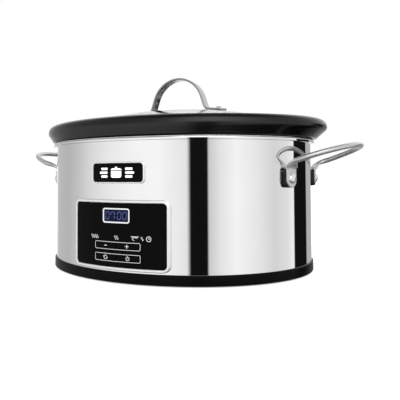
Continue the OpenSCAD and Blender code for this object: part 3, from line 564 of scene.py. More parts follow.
def closed_ends(rings):
    """The rings, with the first and the last shrunk to their middle."""
    first, final = ([(0, 0, ring[0][2])] * len(ring) for ring in (rings[0], rings[-1]))
    return [first] + rings[1:-1] + [final]


def oval_ring(out, z):
    """Points at a distance out from the steel wall, at a height."""
    return [((A + out) * math.cos(t), (B + out) * math.sin(t), z) for t in circle(AROUND)]


def lathe(line, sides=48):
    """Turned shape about +Z, from a line of (radius, height) whose ends lie on the axis or that closes."""
    on_axis = abs(line[0][0]) < DOUBLE and abs(line[-1][0]) < DOUBLE
    rings = [[(r * math.cos(t), r * math.sin(t), z) for t in circle(sides)] for r, z in line]
    return rings_mesh(rings, not on_axis)


def along(axis, place):
    """A placement that turns +Z along axis."""
    turn = Vector((0, 0, 1)).rotation_difference(Vector(axis)).to_matrix().to_4x4()
    return Matrix.Translation(place) @ turn


def front_y(x, out):
    """Y of the curved front at a distance out from the wall."""
    return FRONT_R - B - math.sqrt((FRONT_R + out) ** 2 - x * x)


def rect_line(w, h, r, centre=(0, 0)):
    """Outline of a rectangle with round corners: (x, z). Its upper edge comes first, left to right."""
    corner = [(w / 2 - r + r * math.sin(t), h / 2 - r + r * math.cos(t)) for t in circle(7, 0, 105)]
    flat = max(2, round((w - 2 * r) / 2))
    straight = [(-(w / 2 - r) + (w - 2 * r) * k / flat, h / 2) for k in range(1, flat)]
    top = [(-x, z) for x, z in reversed(corner)] + straight + corner
    return shifted(top + [(x, -z) for x, z in reversed(top)], *centre)


def shifted(line, x, z=0):
    return [(p + x, q + z) for p, q in line]


def plate_ring(w, h, r, out, centre):
    """One ring round a plate that follows the front wall."""
    return [(x, front_y(x, out), z) for x, z in rect_line(w, h, r, centre)]


def bent_plate(w, h, r, outs, centre, edge):
    """Plate with a round corner and a rounded front edge, curved with the wall."""
    back, front = outs
    rings = [plate_ring(w, h, r, back, centre)]
    for t in circle(4, 0, 120):
        inset = edge * (1 - math.cos(t))
        out = front - edge * (1 - math.sin(t))
        rings.append(plate_ring(w - 2 * inset, h - 2 * inset, r - inset, out, centre))
    n, last = len(rings[0]), len(rings) - 1
    faces = [face for i in range(last) for face in ring_faces(n, i, i + 1)]
    for base in (0, last * n):
        faces += [(base + k, base + k + 1, base + n - 2 - k, base + n - 1 - k) for k in range(n // 2 - 1)]
    return mesh_of([p for ring in rings for p in ring], faces)


def bent_frame(w, h, r, section, centre):
    """Frame whose cross-section is a closed line of (inset from its outline, out from the wall)."""
    return rings_mesh([plate_ring(w - 2 * inset, h - 2 * inset, max(r - inset, 0.05), out, centre)
                       for inset, out in section], True)


def flat_shape(outlines, depth):
    """Outlines in X and Y, with holes where they nest, made a plate of that depth about Z = 0."""
    curve = bpy.data.curves.new("outline", "CURVE")
    curve.dimensions = "2D"
    curve.fill_mode = "BOTH"
    curve.extrude = depth / 2
    for outline in outlines:
        spline = curve.splines.new("POLY")
        spline.points.add(len(outline) - 1)
        for point, (x, y) in zip(spline.points, outline):
            point.co = (x, y, 0, 1)
        spline.use_cyclic_u = True
    mesh = evaluated(curve)
    bpy.data.curves.remove(curve)
    return mesh


def evaluated(data, change=None):
    """The mesh that a mesh or curve gives on a passing object, after any change that is made to it."""
    holder = bpy.data.objects.new("holder", data)
    bpy.context.scene.collection.objects.link(holder)
    if change:
        change(holder)
    mesh = bpy.data.meshes.new_from_object(holder.evaluated_get(bpy.context.evaluated_depsgraph_get()))
    bpy.data.objects.remove(holder)
    return mesh


def bent_shape(outlines, back, front, centre, strip=2):
    """Outlines in X and Z about a centre, as a plate from back to front that curves with the wall."""
    mesh = flat_shape(outlines, front - back)
    with edited(mesh) as work:
        bmesh.ops.remove_doubles(work, verts=work.verts, dist=DOUBLE)
        left, right = (end(v.co.x for v in work.verts) for end in (min, max))
        for k in range(1, math.ceil((right - left) / strip)):
            bmesh.ops.bisect_plane(work, geom=work.verts[:] + work.edges[:] + work.faces[:],
                                   plane_co=(left + k * strip, 0, 0), plane_no=(1, 0, 0))
        for v in work.verts:
            x = v.co.x + centre[0]
            v.co = (x, front_y(x, (back + front) / 2 + v.co.z), v.co.y + centre[1])
    return mesh


def printed(outlines, surface_out, centre):
    """Outlines as thin print on a curved face that far out from the wall."""
    return bent_shape(outlines, surface_out - PRINT_SUNK, surface_out + PRINT_T, centre)


def sweep(stations, sides=24):
    """Bar through stations: (middle, half width along, half thickness along, squareness)."""
    def power(v, n):
        return math.copysign(abs(v) ** (2 / n), v)

    return rings_mesh([[middle + across * power(math.cos(t), square) + through * power(math.sin(t), square)
                        for t in circle(sides, 180 / sides, 360 + 180 / sides)]
                       for middle, across, through, square in stations])


def headings(line):
    """Direction of a line at each of its points."""
    return [(line[min(i + 1, len(line) - 1)] - line[max(i - 1, 0)]).normalized() for i in range(len(line))]


def round_end(distance, half):
    """Share of its half width that a bar with a round end has at a distance from the end."""
    return 1 if distance >= half else math.sqrt(max(0.01, 1 - (1 - distance / half) ** 2))


# ---- repeated pieces ----

def copies_group(name, labels):
    return new_group(name, "GeometryNodeTree",
                     [("Part", "Geometry", None)] + [(label, "Float", None) for label in labels]
                     + [("Finish", "Material", None)], ["Copies"], "Geometry")


def end_copies(tree, given, result, points, rotation=(0, 0, 0)):
    """Ends a group with instances of the part on points, made real and given their material."""
    spread = put(tree, "GeometryNodeInstanceOnPoints", Points=points, Instance=given["Part"],
                 Rotation=rotation)
    real = put(tree, "GeometryNodeRealizeInstances", Geometry=spread.outputs[0])
    fill(result, i0=put(tree, "GeometryNodeSetMaterial", Geometry=real.outputs[0],
                        Material=given["Finish"]).outputs[0])
    return tree


@functools.cache
def corners_tree():
    """Four copies at the corners of a rectangle, each turned to face out along its own normal."""
    tree, given, result = copies_group("corner copies",
                                       ["Half X", "Half Y", "Height", "Normal X", "Normal Y"])
    width, depth = (calc(tree, "MULTIPLY", given["Half " + way], 2.0) for way in "XY")
    grid = put(tree, "GeometryNodeMeshGrid", Vertices_X=2, Vertices_Y=2, Size_X=width, Size_Y=depth)
    lift = put(tree, "ShaderNodeCombineXYZ", Z=given["Height"])
    lifted = put(tree, "GeometryNodeTransform", Geometry=grid.outputs[0], Translation=lift.outputs[0])
    place = put(tree, "ShaderNodeSeparateXYZ", i0=put(tree, "GeometryNodeInputPosition").outputs[0]).outputs
    x, y = (calc(tree, "MULTIPLY", calc(tree, "SIGN", place[way]), given["Normal " + way]) for way in "XY")
    turn = put(tree, "ShaderNodeCombineXYZ", Z=calc(tree, "ARCTAN2", y, x))
    return end_copies(tree, given, result, lifted.outputs[0], turn.outputs[0])


@functools.cache
def oval_tree():
    """Copies at equal steps round an oval."""
    tree, given, result = copies_group("oval copies", ["Half X", "Half Y", "Height", "Count", "First"])
    ring = put(tree, "GeometryNodeMeshCircle", Vertices=given["Count"], Radius=1.0)
    first = put(tree, "ShaderNodeCombineXYZ", Z=given["First"])
    turned = put(tree, "GeometryNodeTransform", Geometry=ring.outputs[0], Rotation=first.outputs[0])
    size = put(tree, "ShaderNodeCombineXYZ", X=given["Half X"], Y=given["Half Y"], Z=1.0)
    lift = put(tree, "ShaderNodeCombineXYZ", Z=given["Height"])
    placed = put(tree, "GeometryNodeTransform", Geometry=turned.outputs[0], Translation=lift.outputs[0],
                 Scale=size.outputs[0])
    return end_copies(tree, given, result, placed.outputs[0])


def copies(mesh, make, skin, **sizes):
    """The mesh that a copies group gives for one part; sizes are set by name, with _ for a space."""
    tree = make()
    given = {"Finish": finish(skin), **{key.replace("_", " "): float(value) for key, value in sizes.items()}}

    def change(holder):
        modifier = holder.modifiers.new("copies", "NODES")
        modifier.node_group = tree
        for item in tree.interface.items_tree:
            if item.in_out == "INPUT" and item.name in given:
                modifier[item.identifier] = given[item.name]

    return evaluated(mesh, change)


# ---- body ----

def steel_wall():
    """Drawn steel sheet with its rolled lip, open where the control panel sits."""
    low, high = (corner[2] for corner in node_box("outer_shell"))
    frame_low, frame_high = node_box("panel_frame")
    bottom, top, half = (frame_low[2] + WINDOW_EDGE, frame_high[2] - WINDOW_EDGE, frame_high[0] - WINDOW_EDGE)
    lip = LIP_OUT - 0.1
    heights = [low, bottom, top, high - LIP_H - 2]
    flange = [(0, high - SHEET, 1.2), (lip - 1.2, high - SHEET, 0.6), (lip - SHEET, high - LIP_H + 0.2, 0.1),
              (lip, high - LIP_H, 0.3), (lip, high, 1.1), (-SHEET, high, 0.8)]
    line = rounded([(0, z) for z in heights] + flange + [(-SHEET, z) for z in reversed(heights)])
    mesh = rings_mesh([oval_ring(out, z) for out, z in line], True)
    with edited(mesh) as work:
        middles = [(face, face.calc_center_median()) for face in work.faces]
        behind = [face for face, middle in middles
                  if middle.y < 0 and abs(middle.x) < half - 2 and bottom < middle.z < top]
        bmesh.ops.delete(work, geom=behind, context="FACES")
        bmesh.ops.bridge_loops(work, edges=[e for e in work.edges if e.is_boundary])
    new_piece("steel_wall", mesh, "polished steel", "housing", ["outer_shell"], 30)


def plinth():
    low, high = node_box("plinth_ring")
    top = node_box("outer_shell")[0][2]
    out = high[0] / OVAL_FLAT - A
    ledge, shelf = SCREW_LEDGE
    tongue = -SHEET - SEAT_AIR
    inside = tongue - PLINTH_WALL
    line = rounded([(-2.2, low[2], 0.3), (out, low[2], 0.8), (out, top, 0.9), (tongue, top),
                    (tongue, top + TONGUE, 0.3), (inside, top + TONGUE, 0.3), (inside, shelf),
                    (-LEDGE_IN, shelf, 0.4), (-LEDGE_IN, ledge, 0.4), (-2.2, ledge)])
    mesh = rings_mesh([oval_ring(x, z) for x, z in line], True)
    new_piece("plinth_skirt", mesh, "plinth plastic", "housing", ["plinth_ring"])


def feet():
    """Ribbed rubber feet, each with the stem that holds it in the bottom plate."""
    low, high = node_box("rubber_feet")
    plate = node_box("bottom_plate")[0][2]
    r = FOOT_R
    line = rounded([(0, 0), (r - 4, 0), (r - 3.6, 0.3), (r - 3, 0), (r - 0.8, 0, 0.4), (r, 1.2, 0.4),
                    (r, plate, 0.3), (3.95, plate), (3.95, plate + 1.6), (4.9, plate + 1.8, 0.2),
                    (3, high[2], 0.5), (0, high[2])], closed=False)
    mesh = copies(lathe(line), corners_tree, "foot rubber", Half_X=high[0] - r, Half_Y=high[1] - r,
                  Height=low[2], Normal_X=1, Normal_Y=0)
    new_piece("rubber_feet_set", mesh, "foot rubber", "housing", ["rubber_feet"])


def cross_head(radius, height, shank_r, shank):
    """Pan-head screw, head down at z 0, with a cross in it."""
    line = rounded([(0, 0), (radius * 0.7, 0, 0.3), (radius, height * 0.55, 0.3), (radius, height),
                    (shank_r, height), (shank_r, height + shank, 0.2), (0, height + shank)], closed=False)
    screw = lathe(line, 32)
    bar = Matrix.Diagonal((radius * 0.9, radius * 0.2, height * 0.5, 1))
    with edited(screw, False) as work:
        for k in range(2):
            turn = Matrix.Translation((0, 0, height * 0.245)) @ Matrix.Rotation(math.pi / 2 * k, 4, "Z")
            bmesh.ops.create_cube(work, size=1.0, matrix=turn @ bar)
    return screw


def plinth_screws():
    low, high = node_box("plinth_screws")
    head_r, head, shank_r, inset = 3.2, 1.5, 1.45, 10
    screw = cross_head(head_r, head, shank_r, high[2] - low[2] - head)
    mesh = copies(screw, oval_tree, "plated screw steel", Half_X=A - inset, Half_Y=B - inset, Height=low[2],
                  Count=6, First=math.radians(30))
    new_piece("plinth_screw_set", mesh, "plated screw steel", "housing", ["plinth_screws"])


def well():
    """Spun pan that the crock stands in, with its flange over the steel lip."""
    low, high = node_box("heating_well")
    flange = high[0] / OVAL_FLAT - A
    under = high[2] - 1
    gap, inside = -WELL_GAP, -WELL_GAP - WELL_SHEET
    line = rounded([(-A, low[2]), (gap, low[2], 6), (gap, under, 1.2), (flange, under, 0.2),
                    (flange, high[2], 0.4), (inside, high[2], 1.6), (inside, low[2] + WELL_SHEET, 5),
                    (-A, low[2] + WELL_SHEET)], closed=False)
    mesh = rings_mesh(closed_ends([oval_ring(out, z) for out, z in line]))
    new_piece("heating_pan", mesh, "spun aluminium", "housing", ["heating_well"])


# ---- control panel ----

def trim_frame(name, node, r, section, skin):
    """A frame on the front that stands for a CAD node."""
    mesh = bent_frame(*box_size(node), r, rounded(section), box_centre(node))
    new_piece(name, mesh, skin, "housing", [node], 50)


def node_front(node):
    """How far a CAD node on the front reaches out from the wall."""
    return -node_box(node)[0][1] - B


def panel_frame():
    out = node_front("panel_frame")
    section = [(0, SEAT_AIR), (0, out, 1.3), (FRAME_W, out, 0.9), (FRAME_W, SEAT_AIR)]
    trim_frame("panel_trim", "panel_frame", PANEL_R, section, "bright trim")


def panel_face():
    """Gloss black face with openings for the display and the keys."""
    centre = box_centre("panel_face")
    lines = [rect_line(*box_size("panel_face"), PANEL_R - FRAME_W + 0.5)]
    for node, gap, corner in [("display_frame", 0.1, DISPLAY_R)] + [(key, KEY_GAP, KEY_R) for key in KEYS]:
        x, z = box_centre(node)
        w, h = box_size(node)
        lines.append(rect_line(w + 2 * gap, h + 2 * gap, corner + gap, (x - centre[0], z - centre[1])))
    mesh = bent_shape(lines, FACE_BACK, FACE_FRONT, centre)
    new_piece("control_face", mesh, "panel gloss", "housing", ["panel_face"], 30)


def display():
    out = FACE_FRONT + 0.3
    section = [(0, FACE_BACK), (0, out, 0.3), (DISPLAY_EDGE, out, 0.5), (DISPLAY_EDGE, FACE_BACK)]
    trim_frame("display_trim_ring", "display_frame", DISPLAY_R, section, "display trim")
    pane = bent_plate(*box_size("display_window"), DISPLAY_R - 1.25, (FACE_BACK, FACE_FRONT - PANE_SUNK),
                      box_centre("display_frame"), 0.1)
    new_piece("display_pane", pane, "display glass", "housing", ["display_window"])


# Lit segments of a seven-segment digit: top, top right, bottom right, bottom, bottom left, top left
SEGMENTS = {"0": "abcdef", "7": "abcf"}
# The figures, and their places in steps from the middle of the display
FIGURES = [("0", -1.53), ("7", -0.59), ("0", 0.58), ("0", 1.51)]
COLON = -0.14
DIGIT_PITCH = 7.5
DIGIT_W, DIGIT_H = 4.6, 7.8
BAR_W = 0.95
LEAN = 0.06


def segment(letter):
    """Outline of one segment about the digit's middle."""
    w, h, gap = DIGIT_W / 2, DIGIT_H / 2, 0.22
    ends = {"a": ((-w, h), (w, h)), "b": ((w, h), (w, 0)), "c": ((w, 0), (w, -h)), "d": ((-w, -h), (w, -h)),
            "e": ((-w, 0), (-w, -h)), "f": ((-w, h), (-w, 0))}
    p, q = (Vector(end) for end in ends[letter])
    step = (q - p).normalized()
    side = Vector((-step.y, step.x)) * BAR_W / 2
    p, q = p + step * gap, q - step * gap
    tip = step * BAR_W / 2
    line = [p, p + tip + side, q - tip + side, q, q - tip - side, p + tip - side]
    return [(v.x + LEAN * v.y, v.y) for v in line]


def digits():
    """The time shown on the display."""
    lines = [shifted(segment(letter), step * DIGIT_PITCH)
             for figure, step in FIGURES for letter in SEGMENTS[figure]]
    lines += [rect_line(1, 1, 0.25, (COLON * DIGIT_PITCH, z)) for z in (-1.9, 1.9)]
    mesh = printed(lines, FACE_FRONT - PANE_SUNK, box_centre("display_window"))
    new_piece("lit_figures", mesh, "lit digits", "housing")


def key_cap(node):
    """Curved key with a rounded edge and the stem that meets its switch."""
    x, z = box_centre(node)
    back = node_box(node)[1][1]
    cap = bent_plate(*box_size(node), KEY_R, (FACE_BACK + 0.3, FACE_FRONT + KEY_PROUD), (x, z), 0.35)
    reach = back - front_y(x, FACE_BACK + 0.8)
    stem = lathe(rounded([(0, 0), (2, 0), (2, reach, 0.3), (0, reach)], closed=False), 24)
    stem = moved(stem, along((0, 1, 0), (x, back - reach, z)))
    new_piece(node + "_cap", joined([cap, stem]), "key gloss", node + "_body", [node])


def stroke(points, width, closed=False):
    """Outline of a line of that width through points, with square ends."""
    left, right = [], []
    count = len(points)
    for i, point in enumerate(points):
        here = Vector(point)
        before = Vector(points[i - 1]) if i or closed else here
        after = Vector(points[(i + 1) % count]) if i < count - 1 or closed else here
        step = (after - before).normalized()
        side = Vector((-step.y, step.x)) * width / 2
        left.append(tuple(here + side))
        right.append(tuple(here - side))
    return [left, right] if closed else [left + right[::-1]]


def arc(radius, first, last, centre=(0, 0), steps=20):
    """Points on a circle, angles in degrees."""
    return [(centre[0] + radius * math.cos(t), centre[1] + radius * math.sin(t))
            for t in (math.radians(first + (last - first) * k / steps) for k in range(steps + 1))]


def steam(x, height=4.0, width=0.62):
    """One wavy line of rising heat."""
    line = [(x + 0.28 * height * math.sin(math.tau * k / 12), height * (k / 12 - 0.5)) for k in range(13)]
    return stroke(line, width)


def mode_signs():
    """Strong heat, gentle heat and keeping warm, as small pictures over their lamps."""
    strong, gentle = ([line for k in places for line in steam(k * 2.7)]
                      for places in ((-1.5, -0.5, 0.5, 1.5), (-0.5, 0.5)))
    bowl = stroke(arc(3.2, 180, 360, (0, 1)) + [(-3.2, 1)], 0.62) + [rect_line(9.6, 0.62, 0.25, (0, 2))]
    clock = stroke(arc(2.6, 0, 342, steps=19), 0.62, closed=True)
    clock += [rect_line(0.55, 2, 0.2, (0, 0.6)), rect_line(1.7, 0.55, 0.2, (0.7, 0))]
    warm = [shifted(line, -7.5) for line in bowl] + steam(1.2) + [shifted(line, 8.6) for line in clock]
    low, high = node_box("mode_lamps")
    first, last = low[0] + 1.5, high[0] - 1.5
    meshes = [printed(sign, FACE_FRONT, (x, (low[2] + high[2]) / 2))
              for sign, x in ((strong, first), (gentle, (first + last) / 2), (warm, last))]
    new_piece("mode_signs", joined(meshes), "pale print", "housing")


def key_rings():
    """Fine printed line round each pair of keys."""
    back, front, width = FACE_FRONT - PRINT_SUNK, FACE_FRONT + PRINT_T, 0.48
    meshes = []
    for left, right in (KEYS[:2], KEYS[2:]):
        low, high = node_box(left)[0], node_box(right)[1]
        w, h = high[0] - low[0] + 4 * KEY_GAP + 1.2, high[2] - low[2] + 2 * KEY_GAP + 1.1
        meshes.append(bent_frame(w, h, 1.7, [(0, back), (0, front), (width, front), (width, back)],
                                 ((low[0] + high[0]) / 2, (low[2] + high[2]) / 2)))
    new_piece("key_rings", joined(meshes), "pale print", "housing")


def key_signs():
    """Minus, plus, a turning arrow for choosing and the usual sign for power."""
    thick, arm, half = 0.6, 2.1, 0.32
    minus = [rect_line(3.6, 0.8, 0.2)]
    quarter = [(-arm, -half), (-half, -half), (-half, -arm)]
    plus = [quarter + [(-x, z) for x, z in quarter[::-1]] + [(-x, -z) for x, z in quarter]
            + [(x, -z) for x, z in quarter[::-1]]]
    turning = []
    for start in (20, 200):
        turning += stroke(arc(arm, start, start + 125), thick)
        t = math.radians(start + 130)
        tip = Vector((math.cos(t), math.sin(t)))
        step = Vector((-tip.y, tip.x))
        turning.append([tuple(tip * (arm + 1.2)), tuple(tip * arm + step * 1.7), tuple(tip * (arm - 1.2))])
    power = stroke(arc(2.0, 125, 415), thick) + [rect_line(thick, 2.6, 0.2, (0, 1.5))]
    for node, sign, shift in zip(KEYS, (minus, plus, turning, power), (0.5, -0.7, 0.3, 0.2)):
        x, z = box_centre(node)
        mesh = printed(sign, FACE_FRONT + KEY_PROUD, (x + shift, z))
        new_piece(node + "_sign", mesh, "pale print", node + "_body")


# ---- badge ----

def badge():
    """Black plate in a thin bright frame, with a plain pot and bars on it."""
    centre = box_centre("badge_frame")
    out = node_front("badge_frame")
    section = [(0, SEAT_AIR), (0, out, 0.5), (1.6, out, 0.4), (1.6, SEAT_AIR)]
    trim_frame("badge_trim", "badge_frame", BADGE_R, section, "bright trim")
    front = node_front("badge_plate")
    plate = bent_plate(*box_size("badge_plate"), BADGE_R - 1.5, (SEAT_AIR, front), centre, 0.2)
    new_piece("badge_face", plate, "badge gloss", "housing", ["badge_plate"])
    shapes = [[(-7, 1.6, 0.6), (-7, -5.6, 2.4), (7, -5.6, 2.4), (7, 1.6, 0.6)],
              [(-8, 2.6, 0.4), (8, 2.6, 0.4), (5.6, 4.8, 1.4), (-5.6, 4.8, 1.4)],
              [(-1.6, 5.2, 0.2), (1.6, 5.2, 0.2), (1.6, 6.4, 0.5), (-1.6, 6.4, 0.5)]]
    for side in (-1, 1):
        for z, length in ((4.2, 9), (0, 11), (-4.2, 9)):
            x, half = side * (12 + length / 2), length / 2
            shapes.append([(x - half, z - 1.3, 0.6), (x + half, z - 1.3, 0.6), (x + half, z + 1.3, 0.6),
                           (x - half, z + 1.3, 0.6)])
    mesh = printed([rounded(shape) for shape in shapes], front, centre)
    new_piece("badge_motif", mesh, "white print", "housing")


# ---- side handles ----

def wall_point(angle, out):
    """Point at a distance out from the wall, where the wall's normal has this angle."""
    t = math.atan2(B * math.sin(angle), A * math.cos(angle))
    return Vector((A * math.cos(t) + out * math.cos(angle), B * math.sin(t) + out * math.sin(angle), 0))


# Places along a tab, as shares of its length
TAB_SHARES = (0.0, 0.01, 0.03, 0.06, 0.10, 0.15, 0.21, 0.28, 0.33, 0.5, 0.7, 0.85, 1.0)
# The loop: how far its circle's centre lies inside the wall's end, how far out and how far over the rivets
# it begins, its half width, how steeply it starts to rise and how fast that slope falls off
LOOP_BACK, LOOP_START, LOOP_UP, LOOP_HALF = 2.4, 15, 23.8, 58.3
LOOP_SLOPE, LOOP_FALL = 0.324, 0.38 * MM


def loop_point(phi):
    """Point of the bar's loop, which rises as it goes out and levels off."""
    x = A - LOOP_BACK + (HANDLE_REACH + LOOP_BACK) * math.cos(phi)
    past = x - A - LOOP_START
    rise = LOOP_UP + LOOP_SLOPE * past - LOOP_FALL * past * past
    return Vector((x, LOOP_HALF * math.sin(phi), RIVET_Z + rise))


def handle_stations():
    """Half of the bar, from one tab's lower end to the middle of the loop."""
    tab = wall_point(RIVET_ANGLE, SPACER_T + SEAT_AIR + TAB_T / 2)
    low, top = RIVET_Z - TAB_BELOW, RIVET_Z + TAB_ABOVE
    stations = [(Vector((tab.x, tab.y, low + share * (top - low))),
                 TAB_W / 2 * round_end(share * (top - low), TAB_W / 2), TAB_T / 2, 7) for share in TAB_SHARES]
    first = math.acos((LOOP_BACK + LOOP_START) / (HANDLE_REACH + LOOP_BACK))
    start = loop_point(first)
    heading = (loop_point(first - 0.017) - start).normalized()
    bend = (Vector((tab.x, tab.y, top)), Vector((tab.x, tab.y, top + 9)), start - heading * 13, start)
    for s in (k / 17 for k in range(1, 17)):
        middle = (bend[0] * (1 - s) ** 3 + bend[1] * 3 * s * (1 - s) ** 2 + bend[2] * 3 * s * s * (1 - s)
                  + bend[3] * s ** 3)
        m = min(1, s / 0.8)
        m = m * m * (3 - 2 * m)
        stations.append((middle, TAB_W / 2 * (1 - m) + BAR_D / 2 * m, TAB_T / 2 * (1 - m) + BAR_D / 2 * m,
                         7 - 5 * min(1, 1.6 * m)))
    return stations + [(loop_point(first * (1 - k / 24)), BAR_D / 2, BAR_D / 2, 2) for k in range(25)]


def handle_mesh():
    half = handle_stations()
    line = half + [(Vector((p.x, -p.y, p.z)), w, t, n) for p, w, t, n in reversed(half[:-1])]
    out = Vector((math.cos(RIVET_ANGLE), math.sin(RIVET_ANGLE), 0))
    stations = []
    for i, ((middle, w, t, n), heading) in enumerate(zip(line, headings([station[0] for station in line]))):
        near = i < len(half)
        if min(i, len(line) - 1 - i) < len(TAB_SHARES):
            heading = Vector((0, 0, 1 if near else -1))
        away = out if near else Vector((-out.x, out.y, 0))
        flat = Vector((heading.x, heading.y, 0)) + 0.05 * away
        level = Vector((-flat.y, flat.x, 0)).normalized()
        stations.append((middle, level * w, heading.cross(level).normalized() * t, n))
    return sweep(stations)


def side_handles():
    for side, turn in (("right", 0), ("left", math.pi)):
        bar = moved(handle_mesh(), Matrix.Rotation(turn, 4, "Z"))
        new_piece(side + "_handle_bar", bar, "satin handle steel", "housing",
                  ["handle_" + side], 50)


def upright_block(w, h, depth, r, edge):
    """Block with round corners, its back at x 0 and facing +X."""
    steps = [(edge * (1 - math.cos(t)), depth - edge * (1 - math.sin(t))) for t in circle(4, 0, 120)]
    return rings_mesh([[(x, y, z) for y, z in rect_line(w - 2 * inset, h - 2 * inset, r - inset)]
                       for inset, x in [(0, 0)] + steps])


def handle_fittings():
    """Black spacers and dome rivets that hold each tab to the wall."""
    radius, base, dome, tail, shank_r = RIVET_HEAD_D / 2, SPACER_T + TAB_T + 0.1, 3, -3.6, 2.4
    line = [(0, tail), (3.6, tail), (4.6, tail + 0.8), (4.6, tail + 2), (shank_r, tail + 2), (shank_r, base)]
    line += [(radius * math.cos(t), base + dome * math.sin(t)) for t in circle(15, 0, 90)]
    line.append((0, base + dome))
    rivet = moved(lathe(line), Matrix.Rotation(math.pi / 2, 4, "Y"))
    block = upright_block(SPACER_W, SPACER_H, SPACER_T - 0.3, 4, 0.6)
    for mesh, out, rise, name, skin, node in (
            (block, 0.3, 0.5, "spacer_blocks", "spacer plastic", "handle_spacers"),
            (rivet, 0, 0, "dome_rivets", "polished rivet steel", "handle_rivets")):
        foot = wall_point(RIVET_ANGLE, out)
        placed = copies(mesh, corners_tree, skin, Half_X=foot.x, Half_Y=foot.y, Height=RIVET_Z + rise,
                        Normal_X=math.cos(RIVET_ANGLE), Normal_Y=math.sin(RIVET_ANGLE))
        new_piece(name, placed, skin, "housing", [node])


# ---- back ----

def gland():
    """Ribbed gland that the supply cord would pass through."""
    low, high = node_box("cord_gland")
    x, z = box_centre("cord_gland")
    length, r = high[1] - low[1], (high[0] - low[0]) / 2
    bore, neck = 3.6, 6.5
    line = rounded([(bore, 0, 0.3), (neck, 0, 0.2), (neck, length - 4), (r, length - 4, 0.3),
                    (r, length - 1.4, 0.6), (neck, length, 0.8), (bore, length, 0.5)])
    mesh = moved(lathe(line), along((0, 1, 0), (x, low[1], z)))
    new_piece("gland_body", mesh, "gland plastic", "housing", ["cord_gland"])


# ---- crock ----

RIM_DRAWN = 24.3                        # height of the rim as it is drawn, before it is fitted to the crock's
RIM_POWER = 3.4                         # how quickly the rim narrows from the ends to the front


def rim_out(t):
    """How far the crock's rim stands out past the wall here, and that as a share between front and ends."""
    high = node_box("crock")[1]
    ends, front = high[0] - A, high[1] - B
    share = abs(math.cos(math.atan2(A * math.sin(t), B * math.cos(t)))) ** RIM_POWER
    return front + (ends - front) * share, share


def smooth_line(points, per=4):
    """A curve through points, with per steps between each two."""
    line = []
    for i in range(len(points) - 1):
        p0, p1 = Vector(points[max(i - 1, 0)]), Vector(points[i])
        p2, p3 = Vector(points[i + 1]), Vector(points[min(i + 2, len(points) - 1)])
        for k in range(per):
            s = k / per
            line.append(0.5 * ((2 * p1) + (p2 - p0) * s + (2 * p0 - 5 * p1 + 4 * p2 - p3) * s * s
                               + (3 * p1 - p0 - 3 * p2 + p3) * s ** 3))
    return line + [Vector(points[-1])]


def crock_outline(t):
    """Wall, flared rim, ridge, ledge and cavity of the crock at this place: (out, height)."""
    low, high = node_box("crock")
    foot, ridge = low[2], high[2]
    seat = node_box("heating_well")[1][2] + 0.3
    ledge = ridge - 5
    out = -WELL_GAP - WELL_SHEET - 2.5
    corner, bowl, draft = 27, 30, 4
    base = out - 4.5 - corner
    ridge_in, ridge_edge = out + 2, out - 1.5
    cavity, floor_z = out - 9.5, foot + 9
    root = -2
    tip, share = rim_out(t)
    drop = (ridge - seat) / RIM_DRAWN

    def rim_points(points):
        return [(x, seat + rise * drop) for x, rise in points]

    wall = [(-A, foot + 1.2), (base - 9, foot + 1.2), (base - 8, foot), (base, foot)]
    wall += [(base + corner * math.sin(s), foot + corner * (1 - math.cos(s))) for s in circle(9, 10, 100)]
    wall += [(out, seat - 8), (out, seat - 2), (out + 0.6, seat - 0.6), (out + 2, seat)]
    flare = [(root + (tip - root) * part ** (0.5 + 0.5 * share), rise)
             for part, rise in ((0.36, 0.7), (0.54, 3.5), (0.74, 7), (0.93, 10.2))]
    rim = smooth_line(rim_points([(root, 0)] + flare + [(tip, 13.2), (tip - 0.6, 17.2), (tip - 2.6, 20.4),
                                                        (tip - 6.5, 22.6)]))
    rise = rim_points([((tip - 6.5) * (1 - s) + ridge_in * s, 22.6 + 1.7 * math.sin(math.pi / 2 * s))
                       for s in (0.12, 0.25, 0.4, 0.6, 0.8, 1)])
    top = [(ridge_in - 0.9, ridge - 0.05), (ridge_edge + 1.3, ridge - 0.5), (ridge_edge + 0.5, ridge - 1.4),
           (ridge_edge, ledge + 1.2), (ridge_edge - 0.3, ledge + 0.3), (ridge_edge - 1.2, ledge),
           (cavity + 1.6, ledge), (cavity + 0.5, ledge - 0.5), (cavity, ledge - 1.8)]
    inside = [(cavity - draft - bowl * (1 - math.sin(s)), floor_z + bowl * (1 - math.cos(s)))
              for s in circle(10, 90, -10)]
    return wall + rim + rise + top + inside + [(-A, floor_z)]


def crock():
    columns = [[((A + out) * math.cos(t), (B + out) * math.sin(t), z) for out, z in crock_outline(t)]
               for t in circle(AROUND)]
    mesh = rings_mesh(closed_ends([list(ring) for ring in zip(*columns)]))
    new_piece("glazed_crock", mesh, "crock glaze", "crock_body", ["crock"], 60)


# ---- lid ----

@functools.cache
def lid_values():
    """Half length of the lid and of its glass, its depth as a share, and the dome's radius and top."""
    rim_low, rim = node_box("lid_rim")
    glass = node_box("lid_glass")[1]
    glass_a, top = glass[0], glass[2]
    dome = top - (rim_low[2] + RIM_SHEET + RIM_AIR + GLASS_T)
    return rim[0], glass_a, rim[1] / rim[0], (glass_a ** 2 + dome ** 2) / (2 * dome), top


def lid_ring(r, z):
    ratio = lid_values()[2]
    return [(r * math.cos(t), r * ratio * math.sin(t), z) for t in circle(AROUND)]


def dome_z(r):
    """Height of the glass dome's upper face."""
    radius, top = lid_values()[3:]
    return math.sqrt(radius ** 2 - r * r) - radius + top


